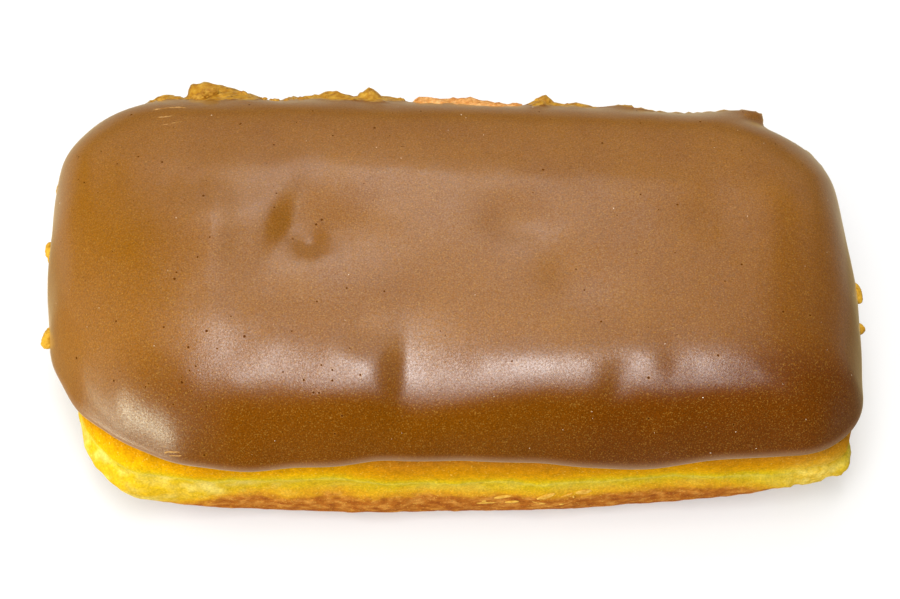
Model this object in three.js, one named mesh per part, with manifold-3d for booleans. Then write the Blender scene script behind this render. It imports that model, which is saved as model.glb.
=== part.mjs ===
// A maple bar: a fried, yeast-raised dough bar with set maple icing over its top and shoulders.
// Millimetres, +Z up. The origin is under the middle of the bar, +X runs along it and -Y is its front.
import * as THREE from "three";
import { mergeVertices } from "three/addons/utils/BufferGeometryUtils.js";
import Module from "manifold-3d";

// The dough in plan, at its widest line, before its ends and sides bow out
const HALF_LENGTH = 67;
const HALF_WIDTH = 34;
const LEFT_BOW = 4;
const RIGHT_BOW = 3;
const SIDE_BOW = 2.2;
const TAPER = 0.05; // the left end is this share wider, the right end this share narrower
const SKEW = 0.055; // lean of the two ends in plan, as a share of the width
const SKEW_FADE = 0.01; // the left end leans this much more, the right end this much less

// Corner radii in plan, in the order front left, front right, back right, back left
const TOP_CORNERS = [25, 9, 14, 13];
const BASE_CORNERS = [9, 3, 12, 10];
const CORNER_BLEND = [-15, 20]; // degrees of tilt over which the base corners turn into the top corners
// Where the base is pushed to the right: out at its torn front right corner, in at its front left one
const FEET = [
  { x: 66, y: -32, half: 9, reach: 1.6 },
  { x: -67, y: -27, half: 12, reach: 2 },
];

// Heights, and how far the top and the base roll in along the length and across the width
const WIDEST_Z = 15.5;
const BASE_DROP = 16; // the base would reach this far under the widest line, and is flattened at z = 0
const TOP_RISE = 20.5;
const CROWN = 2.2;
const TOP_ROLL = [20, 16];
const BASE_ROLL = [22, 10];
const FRONT_POWER = 2.6; // powers of the shoulder's curve, which is squarer the higher they are
const LEFT_POWER = 2.1; // the front shoulder at its left end
const BACK_POWER = 3.1;
const BASE_POWER = 3.6;
const SIDE_TO_SIDE = [-0.5, 0.5]; // shares of the half width where the front shoulder turns into the back one
const LEFT_FRONT = [8, 42]; // distances to the left over which the front shoulder gets rounder
const END_LIFT = 0.52; // share of the base's drop that is lost at the two ends
const END_LIFT_POWER = 3.4;

// The top falls off towards the back, and towards the front on the left, each from a rounded bend on
const BACK_FALL = { from: 13, slope: 0.11, bend: 1 };
const FALL_LEAN = 0.055; // the bend towards the back lies further back on the left
const LEFT_FALL = { from: 17.4, slope: 0.2, bend: 1.5 };

// The proof line: a soft groove round the side, where the dough rose last, by its height over the widest line
const PROOF_LINE = { rise: -2.5, half: 3, depth: 0.8 };

// Low lumps of the fried crust, and the swell on the back shoulder where it stands bare of icing
const LUMP_DEPTH = 0.4;
const LUMP_WAVES = [
  { share: 0.6, alongX: 0.19, alongY: 0.23, withTilt: 0.05, start: 1.3 },
  { share: 0.4, alongX: 0.43, alongY: 0.37, withTilt: -0.06, start: 0.9 },
];
const BARE_CRUST = { x: 2, half: 11, edge: 3, tilt: 38, spread: 18, swell: 3, rimLift: 2 };

// Dents in the top: place, half widths to the left, to the right and across, turn in degrees, depth.
// A depth below zero makes a hump
const DENTS = [
  { x: -42.4, y: -1, left: 16, right: 5, across: 12, turn: 0, depth: -1.6 },
  { x: -33.2, y: 2, left: 6, right: 3.5, across: 6.5, turn: -20, depth: -0.5 },
  { x: -27.8, y: 1.2, left: 4, right: 35, across: 16, turn: -20, depth: 0.5 },
  { x: -27.6, y: 2.4, left: 3.2, right: 12, across: 6.2, turn: -14, depth: 1 },
  { x: -25, y: -2, left: 2.2, right: 2.4, across: 3, turn: 0, depth: 0.5 },
  { x: -15, y: -21, left: 3, right: 5, across: 5, turn: -15, depth: 0.5 },
  { x: -7.2, y: -28.8, left: 4.6, right: 13, across: 10.5, turn: -3, depth: 2.2 },
  { x: 20, y: -9.5, left: 5, right: 8, across: 5.5, turn: 0, depth: 0.55 },
  { x: 10.5, y: 2, left: 5, right: 8, across: 5.5, turn: 0, depth: 0.7 },
  { x: 48, y: 5, left: 6, right: 9, across: 8, turn: 0, depth: 0.3 },
  { x: 28.4, y: -30, left: 3.4, right: 7, across: 4.6, turn: -42, depth: 1 },
  { x: 33, y: -33.8, left: 2.2, right: 2.4, across: 1.5, turn: 0, depth: 0.7 },
  { x: 38, y: -27.5, left: 4, right: 7, across: 6, turn: -15, depth: 0.5 },
];

// The icing: its skin, the clearance under it, and how far above the widest line its rim stands
const CLEARANCE = 0.3;
const ICING_SKIN = 1.5;
const RIM_BEAD = 0.35;
const RIM = { front: 7, back: 14.5, left: 3.2, right: 7.5, wave: 0.8, frontCalm: 0.25 };
const RIM_WAVES = [
  { count: 9, start: 0.6, share: 1 },
  { count: 23, start: 2, share: 0.6 },
];
const RIM_END_POWER = 6; // how sharply the rim turns from its height along the sides to that at the ends
const FRONT_SWELLS = [
  { x: -3, half: 22, rise: 2.1 },
  { x: 30, half: 10, rise: -1.9 },
];
const BACK_LIP = 0.3; // the torn back rim curls outwards by this much, and by more at its humps
const LIP_HUMPS = [
  { x: -50.5, left: 2.6, right: 2.6, reach: 0.9 },
  { x: -42.4, left: 3.6, right: 4.2, reach: 3.1 },
  { x: -38.4, left: 2.4, right: 2.4, reach: 1.5 },
  { x: -35.2, left: 1.5, right: 1.2, reach: 0.8 },
  { x: -28.6, left: 3, right: 3, reach: 0.7 },
  { x: -21.4, left: 4, right: 4, reach: 1.5 },
  { x: -14.6, left: 1.9, right: 1.9, reach: 2.1 },
  { x: -10.6, left: 1.5, right: 1.5, reach: 0.8 },
  { x: 15.2, left: 2, right: 1.8, reach: 2 },
  { x: 21.4, left: 3, right: 3, reach: 0.8 },
  { x: 28.6, left: 4, right: 4, reach: 0.5 },
  { x: 52.4, left: 8, right: 2, reach: 2 },
];
const TUCK = 4; // the blank of the icing ends this far inside the dough

// Crumbs of icing and dough stuck to the icing's edge: side of the bar, place along that side, height
// over the widest line, half length, half height and how far they stand out
const CRUMBS = [
  { side: "back", at: -52.6, rise: 14.8, half: 1.2, tall: 0.7, out: 0.7 },
  { side: "back", at: -46.4, rise: 15.2, half: 1.5, tall: 0.9, out: 0.8 },
  { side: "back", at: -43.2, rise: 15.6, half: 1.6, tall: 1, out: 0.9 },
  { side: "back", at: -37.6, rise: 15, half: 1.1, tall: 0.8, out: 0.7 },
  { side: "back", at: -32.8, rise: 14.8, half: 1.2, tall: 0.9, out: 0.8 },
  { side: "back", at: -27.4, rise: 14.6, half: 1.6, tall: 0.7, out: 0.7 },
  { side: "back", at: -15, rise: 15.4, half: 1.2, tall: 0.9, out: 0.8 },
  { side: "back", at: -10.4, rise: 14.8, half: 1.4, tall: 0.9, out: 0.8 },
  { side: "back", at: 15.6, rise: 15.4, half: 1.4, tall: 1, out: 1 },
  { side: "back", at: 20.8, rise: 14.8, half: 1.3, tall: 0.7, out: 0.7 },
  { side: "back", at: 24.2, rise: 14.6, half: 1, tall: 0.6, out: 0.6 },
  { side: "left", at: 22.5, rise: 4.6, half: 1.8, tall: 1.1, out: 1 },
  { side: "left", at: 8, rise: 4.2, half: 2.6, tall: 1.3, out: 1.2 },
  { side: "left", at: -9.6, rise: 4.4, half: 3, tall: 1.3, out: 1.2 },
  { side: "right", at: -1, rise: 7, half: 2.4, tall: 1.4, out: 1.2 },
  { side: "right", at: -8.3, rise: 6.4, half: 1.2, tall: 0.9, out: 1.3 },
];
const CRUMB_JITTER = 0.2;
const CRUMB_SEAT = 0.5; // share of the lip's reach at which the crumbs sit on it

// Fineness: quads along the bar, across it and up its side
const DOUGH_QUADS = [30, 15, 14];
const ICING_QUADS = [46, 23, 12];
const ROW_CROWDING = 1.6; // rows of the side stand closer near the widest line
const SKIN_ROWS = 7; // rows of the icing's side above its rim
const SKIN_ROW_EASE = 0.8; // below 1, the rows stand closer towards the rim
const BEAD_ONSET = 6; // how late the skin thickens on its way down to the rim
const LIP_ONSET = 4; // how late the torn lip curls outwards on that way
const BEAD_ROWS = 3; // rows round its rounded edge
const LONG_SIDE_SHARE = 1 / 3; // share of the outline on the front, and again on the back
const OUTLINE_STEPS = 1440;
const SEARCH_STEPS = 400;

const REACH_X = HALF_LENGTH + RIGHT_BOW;
const REACH_Y = HALF_WIDTH + SIDE_BOW;
const FIRST_ANGLE = Math.atan2(-HALF_WIDTH, -HALF_LENGTH);
const FRONT_TO_BACK = [-0.9, 0.9]; // shares of the half width where the front's rules turn into the back's
const BACK_ONLY = [0.5, 0.9]; // the same for what the back alone has
const { degToRad, lerp, smoothstep } = THREE.MathUtils;

// A bump that is 1 at the middle and falls off smoothly on both sides
function bump(distance, halfWidth) {
  return Math.exp(-((distance / halfWidth) ** 2));
}

// A point of the plan: a ray from the middle meets a rounded rectangle, which is then bowed and tapered
function planPoint(angle, corners, skin) {
  const along = Math.cos(angle);
  const across = Math.sin(angle);
  const [frontLeft, frontRight, backRight, backLeft] = corners;
  const front = along > 0 ? frontRight : frontLeft;
  const back = along > 0 ? backRight : backLeft;
  const radius = (across < 0 ? front : back) + skin;
  const halfLength = HALF_LENGTH + skin;
  const halfWidth = HALF_WIDTH + skin;
  const arcX = halfLength - radius;
  const arcY = halfWidth - radius;
  const toEnd = halfLength / Math.abs(along);
  const toSide = halfWidth / Math.abs(across);
  const onto = Math.abs(along) * arcX + Math.abs(across) * arcY;
  let ray = onto + Math.sqrt(Math.max(onto * onto - arcX * arcX - arcY * arcY + radius * radius, 0));
  if (toEnd * Math.abs(across) <= arcY) ray = toEnd;
  else if (toSide * Math.abs(along) <= arcX) ray = toSide;
  const x = ray * along;
  const y = ray * across;
  const endBow = x < 0 ? LEFT_BOW : RIGHT_BOW;
  const bowedX = x * (1 + (endBow / halfLength) * (1 - (y / halfWidth) ** 2));
  const bowedY = y * (1 + (SIDE_BOW / halfWidth) * (1 - (x / halfLength) ** 2));
  const taperedY = bowedY * (1 - (TAPER * bowedX) / HALF_LENGTH);
  const lean = SKEW - (SKEW_FADE * bowedX) / HALF_LENGTH;
  return new THREE.Vector2(bowedX - taperedY * lean, taperedY);
}

// The outline as a curve, so that columns can stand at even distances along it
class BarOutline extends THREE.Curve {
  getPoint(turn, target = new THREE.Vector2()) {
    return target.copy(planPoint(FIRST_ANGLE + turn * 2 * Math.PI, TOP_CORNERS, 0));
  }
}

const outline = new BarOutline();
outline.arcLengthDivisions = OUTLINE_STEPS;

function angleAt(share) {
  return FIRST_ANGLE + outline.getUtoTmapping(share % 1) * 2 * Math.PI;
}

// How far the dents lower the top at a place
function dentDepth(x, y) {
  let depth = 0;
  for (const dent of DENTS) {
    const turn = degToRad(dent.turn);
    const dx = x - dent.x;
    const dy = y - dent.y;
    const along = dx * Math.cos(turn) + dy * Math.sin(turn);
    const across = dy * Math.cos(turn) - dx * Math.sin(turn);
    const half = along < 0 ? dent.left : dent.right;
    depth += dent.depth * bump(along, half) * bump(across, dent.across);
  }
  return depth;
}

// How far a slope has fallen at a distance
function slopeFrom(rule, distance) {
  return rule.slope * rule.bend * Math.log1p(Math.exp((distance - rule.from) / rule.bend));
}

function topFall(x, y) {
  return slopeFrom(BACK_FALL, y + FALL_LEAN * x) + slopeFrom(LEFT_FALL, -y) * smoothstep(-x, ...LEFT_FRONT);
}

// Power of the shoulder's curve at a place of the plan
function topPower(plan) {
  const front = lerp(FRONT_POWER, LEFT_POWER, smoothstep(-plan.x, ...LEFT_FRONT));
  return lerp(front, BACK_POWER, smoothstep(plan.y / REACH_Y, ...SIDE_TO_SIDE));
}

// Low uneven lumps on the side, as a share of the lump depth
function lumps(x, y, tilt) {
  let height = 0;
  for (const wave of LUMP_WAVES) {
    const alongWave = Math.sin(wave.alongX * x + wave.start);
    height += wave.share * alongWave * Math.cos(wave.alongY * y + wave.withTilt * tilt);
  }
  return height;
}

// A point of the bar's surface, grown by a skin: an angle in plan, a tilt from -90 under the base
// through 0 at the widest line to 90 on top, and a share of the way from the middle of the top or
// base (0) to its edge (1)
function barPoint(angle, tilt, share, skin) {
  const plan = planPoint(angle, BASE_CORNERS, skin);
  for (const { x, y, half, reach } of FEET) plan.x += reach * bump(plan.x - x, half) * bump(plan.y - y, half);
  plan.lerp(planPoint(angle, TOP_CORNERS, skin), smoothstep(tilt, ...CORNER_BLEND));
  const isTop = tilt > 0;
  const power = 2 / (isTop ? topPower(plan) : BASE_POWER);
  const roll = isTop ? TOP_ROLL : BASE_ROLL;
  const inset = 1 - Math.max(Math.cos(degToRad(tilt)), 0) ** power;
  const reach = Math.abs(Math.sin(degToRad(tilt))) ** power;
  const rise = reach * (isTop ? TOP_RISE : -BASE_DROP);
  const sideways = LUMP_DEPTH * lumps(plan.x, plan.y, tilt) * Math.cos(degToRad(tilt))
    - PROOF_LINE.depth * bump(rise - PROOF_LINE.rise, PROOF_LINE.half);
  const x = share * plan.x * (1 - (inset * roll[0]) / REACH_X + sideways / REACH_X);
  const y = share * plan.y * (1 - (inset * roll[1]) / REACH_Y + sideways / REACH_Y);
  const crown = CROWN * reach * (1 - (x / REACH_X) ** 2) * (1 - (y / REACH_Y) ** 2);
  const top = WIDEST_Z + (TOP_RISE + skin) * reach + crown - reach * (dentDepth(x, y) + topFall(x, y));
  const endShare = Math.min(Math.abs(share * plan.x) / REACH_X, 1);
  const base = WIDEST_Z - (BASE_DROP + skin) * reach * (1 - END_LIFT * endShare ** END_LIFT_POWER);
  return new THREE.Vector3(x, y, isTop ? top : Math.max(base, -skin));
}

// The tilt at which the side stands a given height above the widest line
function tiltAtRise(rise, share) {
  const power = topPower(planPoint(angleAt(share), TOP_CORNERS, 0));
  return THREE.MathUtils.radToDeg(Math.asin((rise / TOP_RISE) ** (power / 2)));
}

// How bare the back of the bar is at a place of the plan, from 0 to 1
function bareness(plan) {
  const { x, half, edge } = BARE_CRUST;
  const toBack = smoothstep(plan.y / REACH_Y, ...BACK_ONLY);
  return toBack * (1 - smoothstep(Math.abs(plan.x - x), half - edge, half + edge));
}

// The swell of the crust where it stands bare
function bareSwell(angle, tilt) {
  const plan = planPoint(angle, TOP_CORNERS, 0);
  return BARE_CRUST.swell * bareness(plan) * bump(tilt - BARE_CRUST.tilt, BARE_CRUST.spread);
}

// Height of the icing's rim above the widest line
function rimRise(share) {
  const plan = planPoint(angleAt(share), TOP_CORNERS, 0);
  const toBack = smoothstep(plan.y / REACH_Y, ...FRONT_TO_BACK);
  const toEnd = (Math.abs(plan.x) / REACH_X) ** RIM_END_POWER;
  let front = RIM.front;
  for (const swell of FRONT_SWELLS) front += swell.rise * bump(plan.x - swell.x, swell.half);
  const level = lerp(lerp(front, RIM.back, toBack), plan.x < 0 ? RIM.left : RIM.right, toEnd);
  let wave = 0;
  for (const { count, start, share: part } of RIM_WAVES) {
    wave += part * Math.sin(share * 2 * Math.PI * count + start);
  }
  return level + RIM.wave * lerp(RIM.frontCalm, 1, toBack) * wave + BARE_CRUST.rimLift * bareness(plan);
}

// How far the rim curls outwards: a torn lip along the back whose last hump is a sharp tip
function lipReach(share) {
  const plan = planPoint(angleAt(share), TOP_CORNERS, 0);
  const toBack = smoothstep(plan.y / REACH_Y, ...BACK_ONLY);
  let reach = BACK_LIP;
  for (const hump of LIP_HUMPS) {
    reach += hump.reach * bump(plan.x - hump.x, plan.x < hump.x ? hump.left : hump.right);
  }
  return toBack * reach * (1 - bareness(plan));
}

// A point of the icing's blank: rows run from the top's edge to the rim, round the bead and into the dough
function icingPoint(share, row) {
  const angle = angleAt(share);
  const rimTilt = tiltAtRise(rimRise(share), share);
  const fullSkin = CLEARANCE + ICING_SKIN;
  if (row <= SKIN_ROWS) {
    const down = row / SKIN_ROWS;
    const tilt = lerp(90, rimTilt, down ** SKIN_ROW_EASE);
    const curl = RIM_BEAD * down ** BEAD_ONSET + lipReach(share) * down ** LIP_ONSET;
    return barPoint(angle, tilt, 1, fullSkin + curl);
  }
  const rimSkin = fullSkin + RIM_BEAD + lipReach(share);
  const beadRadius = rimSkin / 2;
  const beadTurn = Math.min((row - SKIN_ROWS) / BEAD_ROWS, 1) * Math.PI;
  const tucked = Math.max(row - SKIN_ROWS - BEAD_ROWS, 0) * TUCK;
  const point = barPoint(angle, rimTilt, 1, beadRadius * (1 + Math.cos(beadTurn)) - tucked);
  point.z -= beadRadius * Math.sin(beadTurn);
  return point;
}

// Share of the way round the outline of a place on the edge of a square from -1 to 1, front left first
function shareOnSquare(a, b) {
  const shortSide = 0.5 - LONG_SIDE_SHARE;
  const edge = 1 - 1e-6;
  if (b <= -edge) return ((a + 1) / 2) * LONG_SIDE_SHARE;
  if (a >= edge) return LONG_SIDE_SHARE + ((b + 1) / 2) * shortSide;
  if (b >= edge) return 0.5 + ((1 - a) / 2) * LONG_SIDE_SHARE;
  return 0.5 + LONG_SIDE_SHARE + ((1 - b) / 2) * shortSide;
}

// A welded box whose points are moved by a rule, place, which is given each point's share of the way
// round the outline, its share of the way out from the middle and its height from -1 to 1
function shapedBlock(quads, place) {
  const box = new THREE.BoxGeometry(2, 2, 2, ...quads);
  box.deleteAttribute("normal");
  box.deleteAttribute("uv");
  const block = mergeVertices(box);
  const position = block.attributes.position;
  for (let i = 0; i < position.count; i += 1) {
    const a = position.getX(i);
    const b = position.getY(i);
    const middle = Math.max(Math.abs(a), Math.abs(b), 1e-9);
    const point = place(shareOnSquare(a / middle, b / middle), middle, position.getZ(i));
    position.setXYZ(i, point.x, point.y, point.z);
  }
  return block;
}

function doughBlock(skin) {
  return shapedBlock(DOUGH_QUADS, (share, middle, height) => {
    const tilt = 90 * Math.sign(height) * Math.abs(height) ** ROW_CROWDING;
    const angle = angleAt(share);
    return barPoint(angle, tilt, middle, skin + bareSwell(angle, tilt));
  });
}

function icingBlank() {
  const lastRow = ICING_QUADS[2];
  return shapedBlock(ICING_QUADS, (share, middle, height) => {
    if (height >= 1) return barPoint(angleAt(share), 90, middle, CLEARANCE + ICING_SKIN);
    const edge = icingPoint(share, ((1 - height) / 2) * lastRow);
    const centre = new THREE.Vector3(0, 0, WIDEST_Z + RIM.front);
    return centre.lerp(edge, middle);
  });
}

// The share of the outline at which a side of the bar passes a place along it
function shareAlong(side, at) {
  const ranges = {
    back: [0.5, 0.5 + LONG_SIDE_SHARE, "x"],
    left: [0.5 + LONG_SIDE_SHARE, 1, "y"],
    right: [LONG_SIDE_SHARE, 0.5, "y"],
  };
  const [from, to, axis] = ranges[side];
  let best = from;
  let bestMiss = Infinity;
  for (let i = 0; i <= SEARCH_STEPS; i += 1) {
    const share = lerp(from, to, i / SEARCH_STEPS);
    const miss = Math.abs(planPoint(angleAt(share), TOP_CORNERS, 0)[axis] - at);
    if (miss < bestMiss) {
      best = share;
      bestMiss = miss;
    }
  }
  return best;
}

// An uneven draw from -1 to 1 that is the same every time
function draw(seed) {
  const value = Math.sin(seed * 12.9898) * 43758.5453;
  return 2 * (value - Math.floor(value)) - 1;
}

// A craggy crumb that is half sunk in the icing's rim or its torn lip
function crumb(spec, number) {
  const share = shareAlong(spec.side, spec.at);
  const tilt = tiltAtRise(spec.rise, share);
  const place = barPoint(angleAt(share), tilt, 1, CLEARANCE + ICING_SKIN + CRUMB_SEAT * lipReach(share));
  const ball = new THREE.IcosahedronGeometry(1, 1);
  ball.deleteAttribute("normal");
  ball.deleteAttribute("uv");
  const lump = mergeVertices(ball);
  const position = lump.attributes.position;
  for (let i = 0; i < position.count; i += 1) {
    const swell = 1 + CRUMB_JITTER * draw(number * 97 + i + 1);
    position.setXYZ(i, position.getX(i) * swell, position.getY(i) * swell, position.getZ(i) * swell);
  }
  const lengthwise = spec.side === "back";
  lump.scale(lengthwise ? spec.half : spec.out, lengthwise ? spec.out : spec.half, spec.tall);
  lump.translate(place.x, place.y, place.z);
  return lump;
}

const wasm = await Module();
wasm.setup();

function toSolid(geometry) {
  const vertProperties = new Float32Array(geometry.attributes.position.array);
  const triVerts = new Uint32Array(geometry.index.array);
  return new wasm.Manifold(new wasm.Mesh({ numProp: 3, vertProperties, triVerts }));
}

function toGeometry(solid) {
  const mesh = solid.getMesh();
  const geometry = new THREE.BufferGeometry();
  geometry.setAttribute("position", new THREE.BufferAttribute(mesh.vertProperties, 3));
  geometry.setIndex(new THREE.BufferAttribute(mesh.triVerts, 1));
  geometry.computeVertexNormals();
  return geometry;
}

// The icing: its blank with the crumbs fused on, less the dough and its clearance, without loose scraps
function icingSolid() {
  let icing = toSolid(icingBlank());
  CRUMBS.forEach((spec, number) => {
    icing = icing.add(toSolid(crumb(spec, number)));
  });
  const pieces = icing.subtract(toSolid(doughBlock(CLEARANCE))).decompose();
  return pieces.reduce((largest, piece) => (piece.volume() > largest.volume() ? piece : largest));
}

const crustMaterial = new THREE.MeshStandardMaterial({ color: 0xc8923c, roughness: 0.75, metalness: 0 });
const icingMaterial = new THREE.MeshStandardMaterial({ color: 0xa06a2a, roughness: 0.4, metalness: 0 });

const doughGeometry = doughBlock(0);
doughGeometry.computeVertexNormals();
const dough = new THREE.Mesh(doughGeometry, crustMaterial);
dough.name = "dough";

const icing = new THREE.Mesh(toGeometry(icingSolid()), icingMaterial);
icing.name = "icing";

const mapleBar = new THREE.Group();
mapleBar.add(dough, icing);

// The origin goes under the middle of the whole bar's box
const box = new THREE.Box3().setFromObject(mapleBar);
const middle = box.getCenter(new THREE.Vector3());
mapleBar.position.set(-middle.x, -middle.y, -box.min.z);

export default mapleBar;
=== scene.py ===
# %% [markdown]
# # A maple bar
# A maple bar is an oblong raised doughnut. Soft dough is cut, proofed and fried, and the warm bar is
# then pressed top down into maple icing, which sets to a satin skin. This script dresses two plain
# solids, the dough and the icing, which are already packed at their real size. It begins by loading
# them as a fixed frame.

# %% Frame
import math

import bpy
import numpy as np
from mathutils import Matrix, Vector
from mathutils.bvhtree import BVHTree


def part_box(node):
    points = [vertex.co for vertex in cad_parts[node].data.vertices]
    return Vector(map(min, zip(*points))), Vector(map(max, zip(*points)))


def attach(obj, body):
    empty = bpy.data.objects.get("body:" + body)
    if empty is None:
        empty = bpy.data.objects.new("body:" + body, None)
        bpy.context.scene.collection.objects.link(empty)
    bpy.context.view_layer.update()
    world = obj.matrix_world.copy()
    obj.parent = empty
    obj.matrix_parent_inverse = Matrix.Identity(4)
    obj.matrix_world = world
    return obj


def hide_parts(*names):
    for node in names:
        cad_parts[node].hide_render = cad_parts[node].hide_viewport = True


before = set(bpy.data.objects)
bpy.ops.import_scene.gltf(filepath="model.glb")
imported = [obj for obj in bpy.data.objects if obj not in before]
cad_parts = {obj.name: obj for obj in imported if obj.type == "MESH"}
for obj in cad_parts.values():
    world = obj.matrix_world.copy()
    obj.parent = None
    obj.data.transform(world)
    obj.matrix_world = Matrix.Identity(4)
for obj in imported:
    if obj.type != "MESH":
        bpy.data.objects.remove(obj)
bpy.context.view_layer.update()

MM = 0.001

# %% [markdown]
# ## The form of the bar
# Dough proofs into a pillow: a rounded rectangle in plan whose sides bow out, rolling in towards the
# top and the base. One rule gives every point of it, from an angle in plan and a tilt up its side. The
# rule is the solids' own, in millimetres, so the fine surfaces made from it lie where the solids are.
# Writing it with arrays lets one call place a hundred thousand points.

# %% Form of the dough
HALF_LENGTH, HALF_WIDTH = 67.0, 34.0   # before its sides bow out
LEFT_BOW, RIGHT_BOW, SIDE_BOW = 4.0, 3.0, 2.2
TAPER = 0.05   # the right end is narrower
SKEW, SKEW_FADE = 0.055, 0.01   # lean of the ends in plan, less towards the right
TOP_CORNERS = (25.0, 9.0, 14.0, 13.0)   # front left, front right, back right, back left
BASE_CORNERS = (9.0, 3.0, 12.0, 10.0)
CORNER_BLEND = (-15.0, 20.0)   # tilts between which the base's corners pass into the top's
# Where the base is pushed to the right: x, y, half width, reach. Out at its torn front right corner,
# in at its front left one
FEET = ((66.0, -32.0, 9.0, 1.6), (-67.0, -27.0, 12.0, 2.0))
WIDEST_Z, BASE_DROP, TOP_RISE, CROWN = 15.5, 16.0, 20.5, 2.2
TOP_ROLL, BASE_ROLL = (20.0, 16.0), (22.0, 10.0)   # how far the sides roll in, along x and along y
FRONT_POWER, LEFT_POWER, BACK_POWER, BASE_POWER = 2.6, 2.1, 3.1, 3.6
SIDE_TO_SIDE = (-0.5, 0.5)   # where the front shoulder passes into the back one
LEFT_FRONT = (8.0, 42.0)   # where the front shoulder gets rounder towards the left
BACK_FALL = {"from": 13.0, "slope": 0.11, "bend": 1.0}   # the top falls off towards the back
FALL_LEAN = 0.055   # the line where it sets in lies further back on the left
LEFT_FALL = {"from": 17.4, "slope": 0.20, "bend": 1.5}   # and towards the front on the left
END_LIFT, END_LIFT_POWER = 0.52, 3.4   # the base curves up towards the ends
PROOF_LINE = {"rise": -2.5, "half": 3.0, "depth": 0.8}
LUMP_DEPTH = 0.4
# Low lumps on the sides: part, waves along x and y, turn with the tilt, start
LUMP_WAVES = ((0.6, 0.19, 0.23, 0.05, 1.3), (0.4, 0.43, 0.37, -0.06, 0.9))
REACH_X, REACH_Y = HALF_LENGTH + RIGHT_BOW, HALF_WIDTH + SIDE_BOW
SLIGHT = 1e-9   # keeps a ray along an axis from dividing by zero

# Dents in the top: x, y, half widths to the left, to the right and across, turn in degrees, depth.
# A depth below zero makes a hump
DENTS = (
    (-42.4, -1, 16, 5, 12, 0, -1.6),
    (-33.2, 2, 6, 3.5, 6.5, -20, -0.5),
    (-27.8, 1.2, 4, 35, 16, -20, 0.5),
    (-27.6, 2.4, 3.2, 12, 6.2, -14, 1.0),
    (-25, -2, 2.2, 2.4, 3, 0, 0.5),
    (-15, -21, 3, 5, 5, -15, 0.5),
    (-7.2, -28.8, 4.6, 13, 10.5, -3, 2.2),
    (20, -9.5, 5, 8, 5.5, 0, 0.55),
    (10.5, 2, 5, 8, 5.5, 0, 0.7),
    (48, 5, 6, 9, 8, 0, 0.3),
    (28.4, -30, 3.4, 7, 4.6, -42, 1.0),
    (33, -33.8, 2.2, 2.4, 1.5, 0, 0.7),
    (38, -27.5, 4, 7, 6, -15, 0.5),
)


def bump(distance, half_width):
    return np.exp(-((distance / half_width) ** 2))


def smoothstep(value, low, high):
    share = np.clip((value - low) / (high - low), 0, 1)
    return share * share * (3 - 2 * share)


def plan_point(angle, corners, skin):
    """A ray from the middle meets a rounded rectangle, which is then bowed and tapered."""
    along, across = np.cos(angle), np.sin(angle)
    front_left, front_right, back_right, back_left = corners
    front = np.where(along > 0, front_right, front_left)
    back = np.where(along > 0, back_right, back_left)
    radius = np.where(across < 0, front, back) + skin
    half_length, half_width = HALF_LENGTH + skin, HALF_WIDTH + skin
    arc_x, arc_y = half_length - radius, half_width - radius
    to_x, to_y = np.maximum(np.abs(along), SLIGHT), np.maximum(np.abs(across), SLIGHT)
    onto = to_x * arc_x + to_y * arc_y
    ray = onto + np.sqrt(np.maximum(onto**2 - arc_x**2 - arc_y**2 + radius**2, 0))
    ray = np.where(half_width / to_y * to_x <= arc_x, half_width / to_y, ray)
    ray = np.where(half_length / to_x * to_y <= arc_y, half_length / to_x, ray)
    x, y = ray * along, ray * across
    end_bow = np.where(x < 0, LEFT_BOW, RIGHT_BOW)
    bowed_x = x * (1 + end_bow / half_length * (1 - (y / half_width) ** 2))
    bowed_y = y * (1 + SIDE_BOW / half_width * (1 - (x / half_length) ** 2))
    tapered_y = bowed_y * (1 - TAPER * bowed_x / HALF_LENGTH)
    return bowed_x - tapered_y * (SKEW - SKEW_FADE * bowed_x / HALF_LENGTH), tapered_y


def dent_depth(x, y):
    depth = np.zeros_like(x)
    for dent_x, dent_y, half_left, half_right, half_across, turn, deep in DENTS:
        cosine, sine = math.cos(math.radians(turn)), math.sin(math.radians(turn))
        along = (x - dent_x) * cosine + (y - dent_y) * sine
        across = (y - dent_y) * cosine - (x - dent_x) * sine
        half_along = np.where(along < 0, half_left, half_right)
        depth += deep * bump(along, half_along) * bump(across, half_across)
    return depth


def slope_from(rule, distance):
    """How far a slope has fallen at a distance. It sets in with a rounded bend."""
    return rule["slope"] * rule["bend"] * np.logaddexp(0, (distance - rule["from"]) / rule["bend"])


def top_fall(x, y):
    return slope_from(BACK_FALL, y + FALL_LEAN * x) + slope_from(LEFT_FALL, -y) * smoothstep(-x, *LEFT_FRONT)


def top_power(x, y):
    """Power of the shoulder's curve, which is squarer at the back and rounder at the front left."""
    to_back = smoothstep(y / REACH_Y, *SIDE_TO_SIDE)
    front = FRONT_POWER + (LEFT_POWER - FRONT_POWER) * smoothstep(-x, *LEFT_FRONT)
    return front + (BACK_POWER - front) * to_back


def lumps(x, y, tilt):
    height = np.zeros_like(x)
    for part, along_x, along_y, with_tilt, start in LUMP_WAVES:
        height += part * np.sin(along_x * x + start) * np.cos(along_y * y + with_tilt * tilt)
    return height


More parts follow.
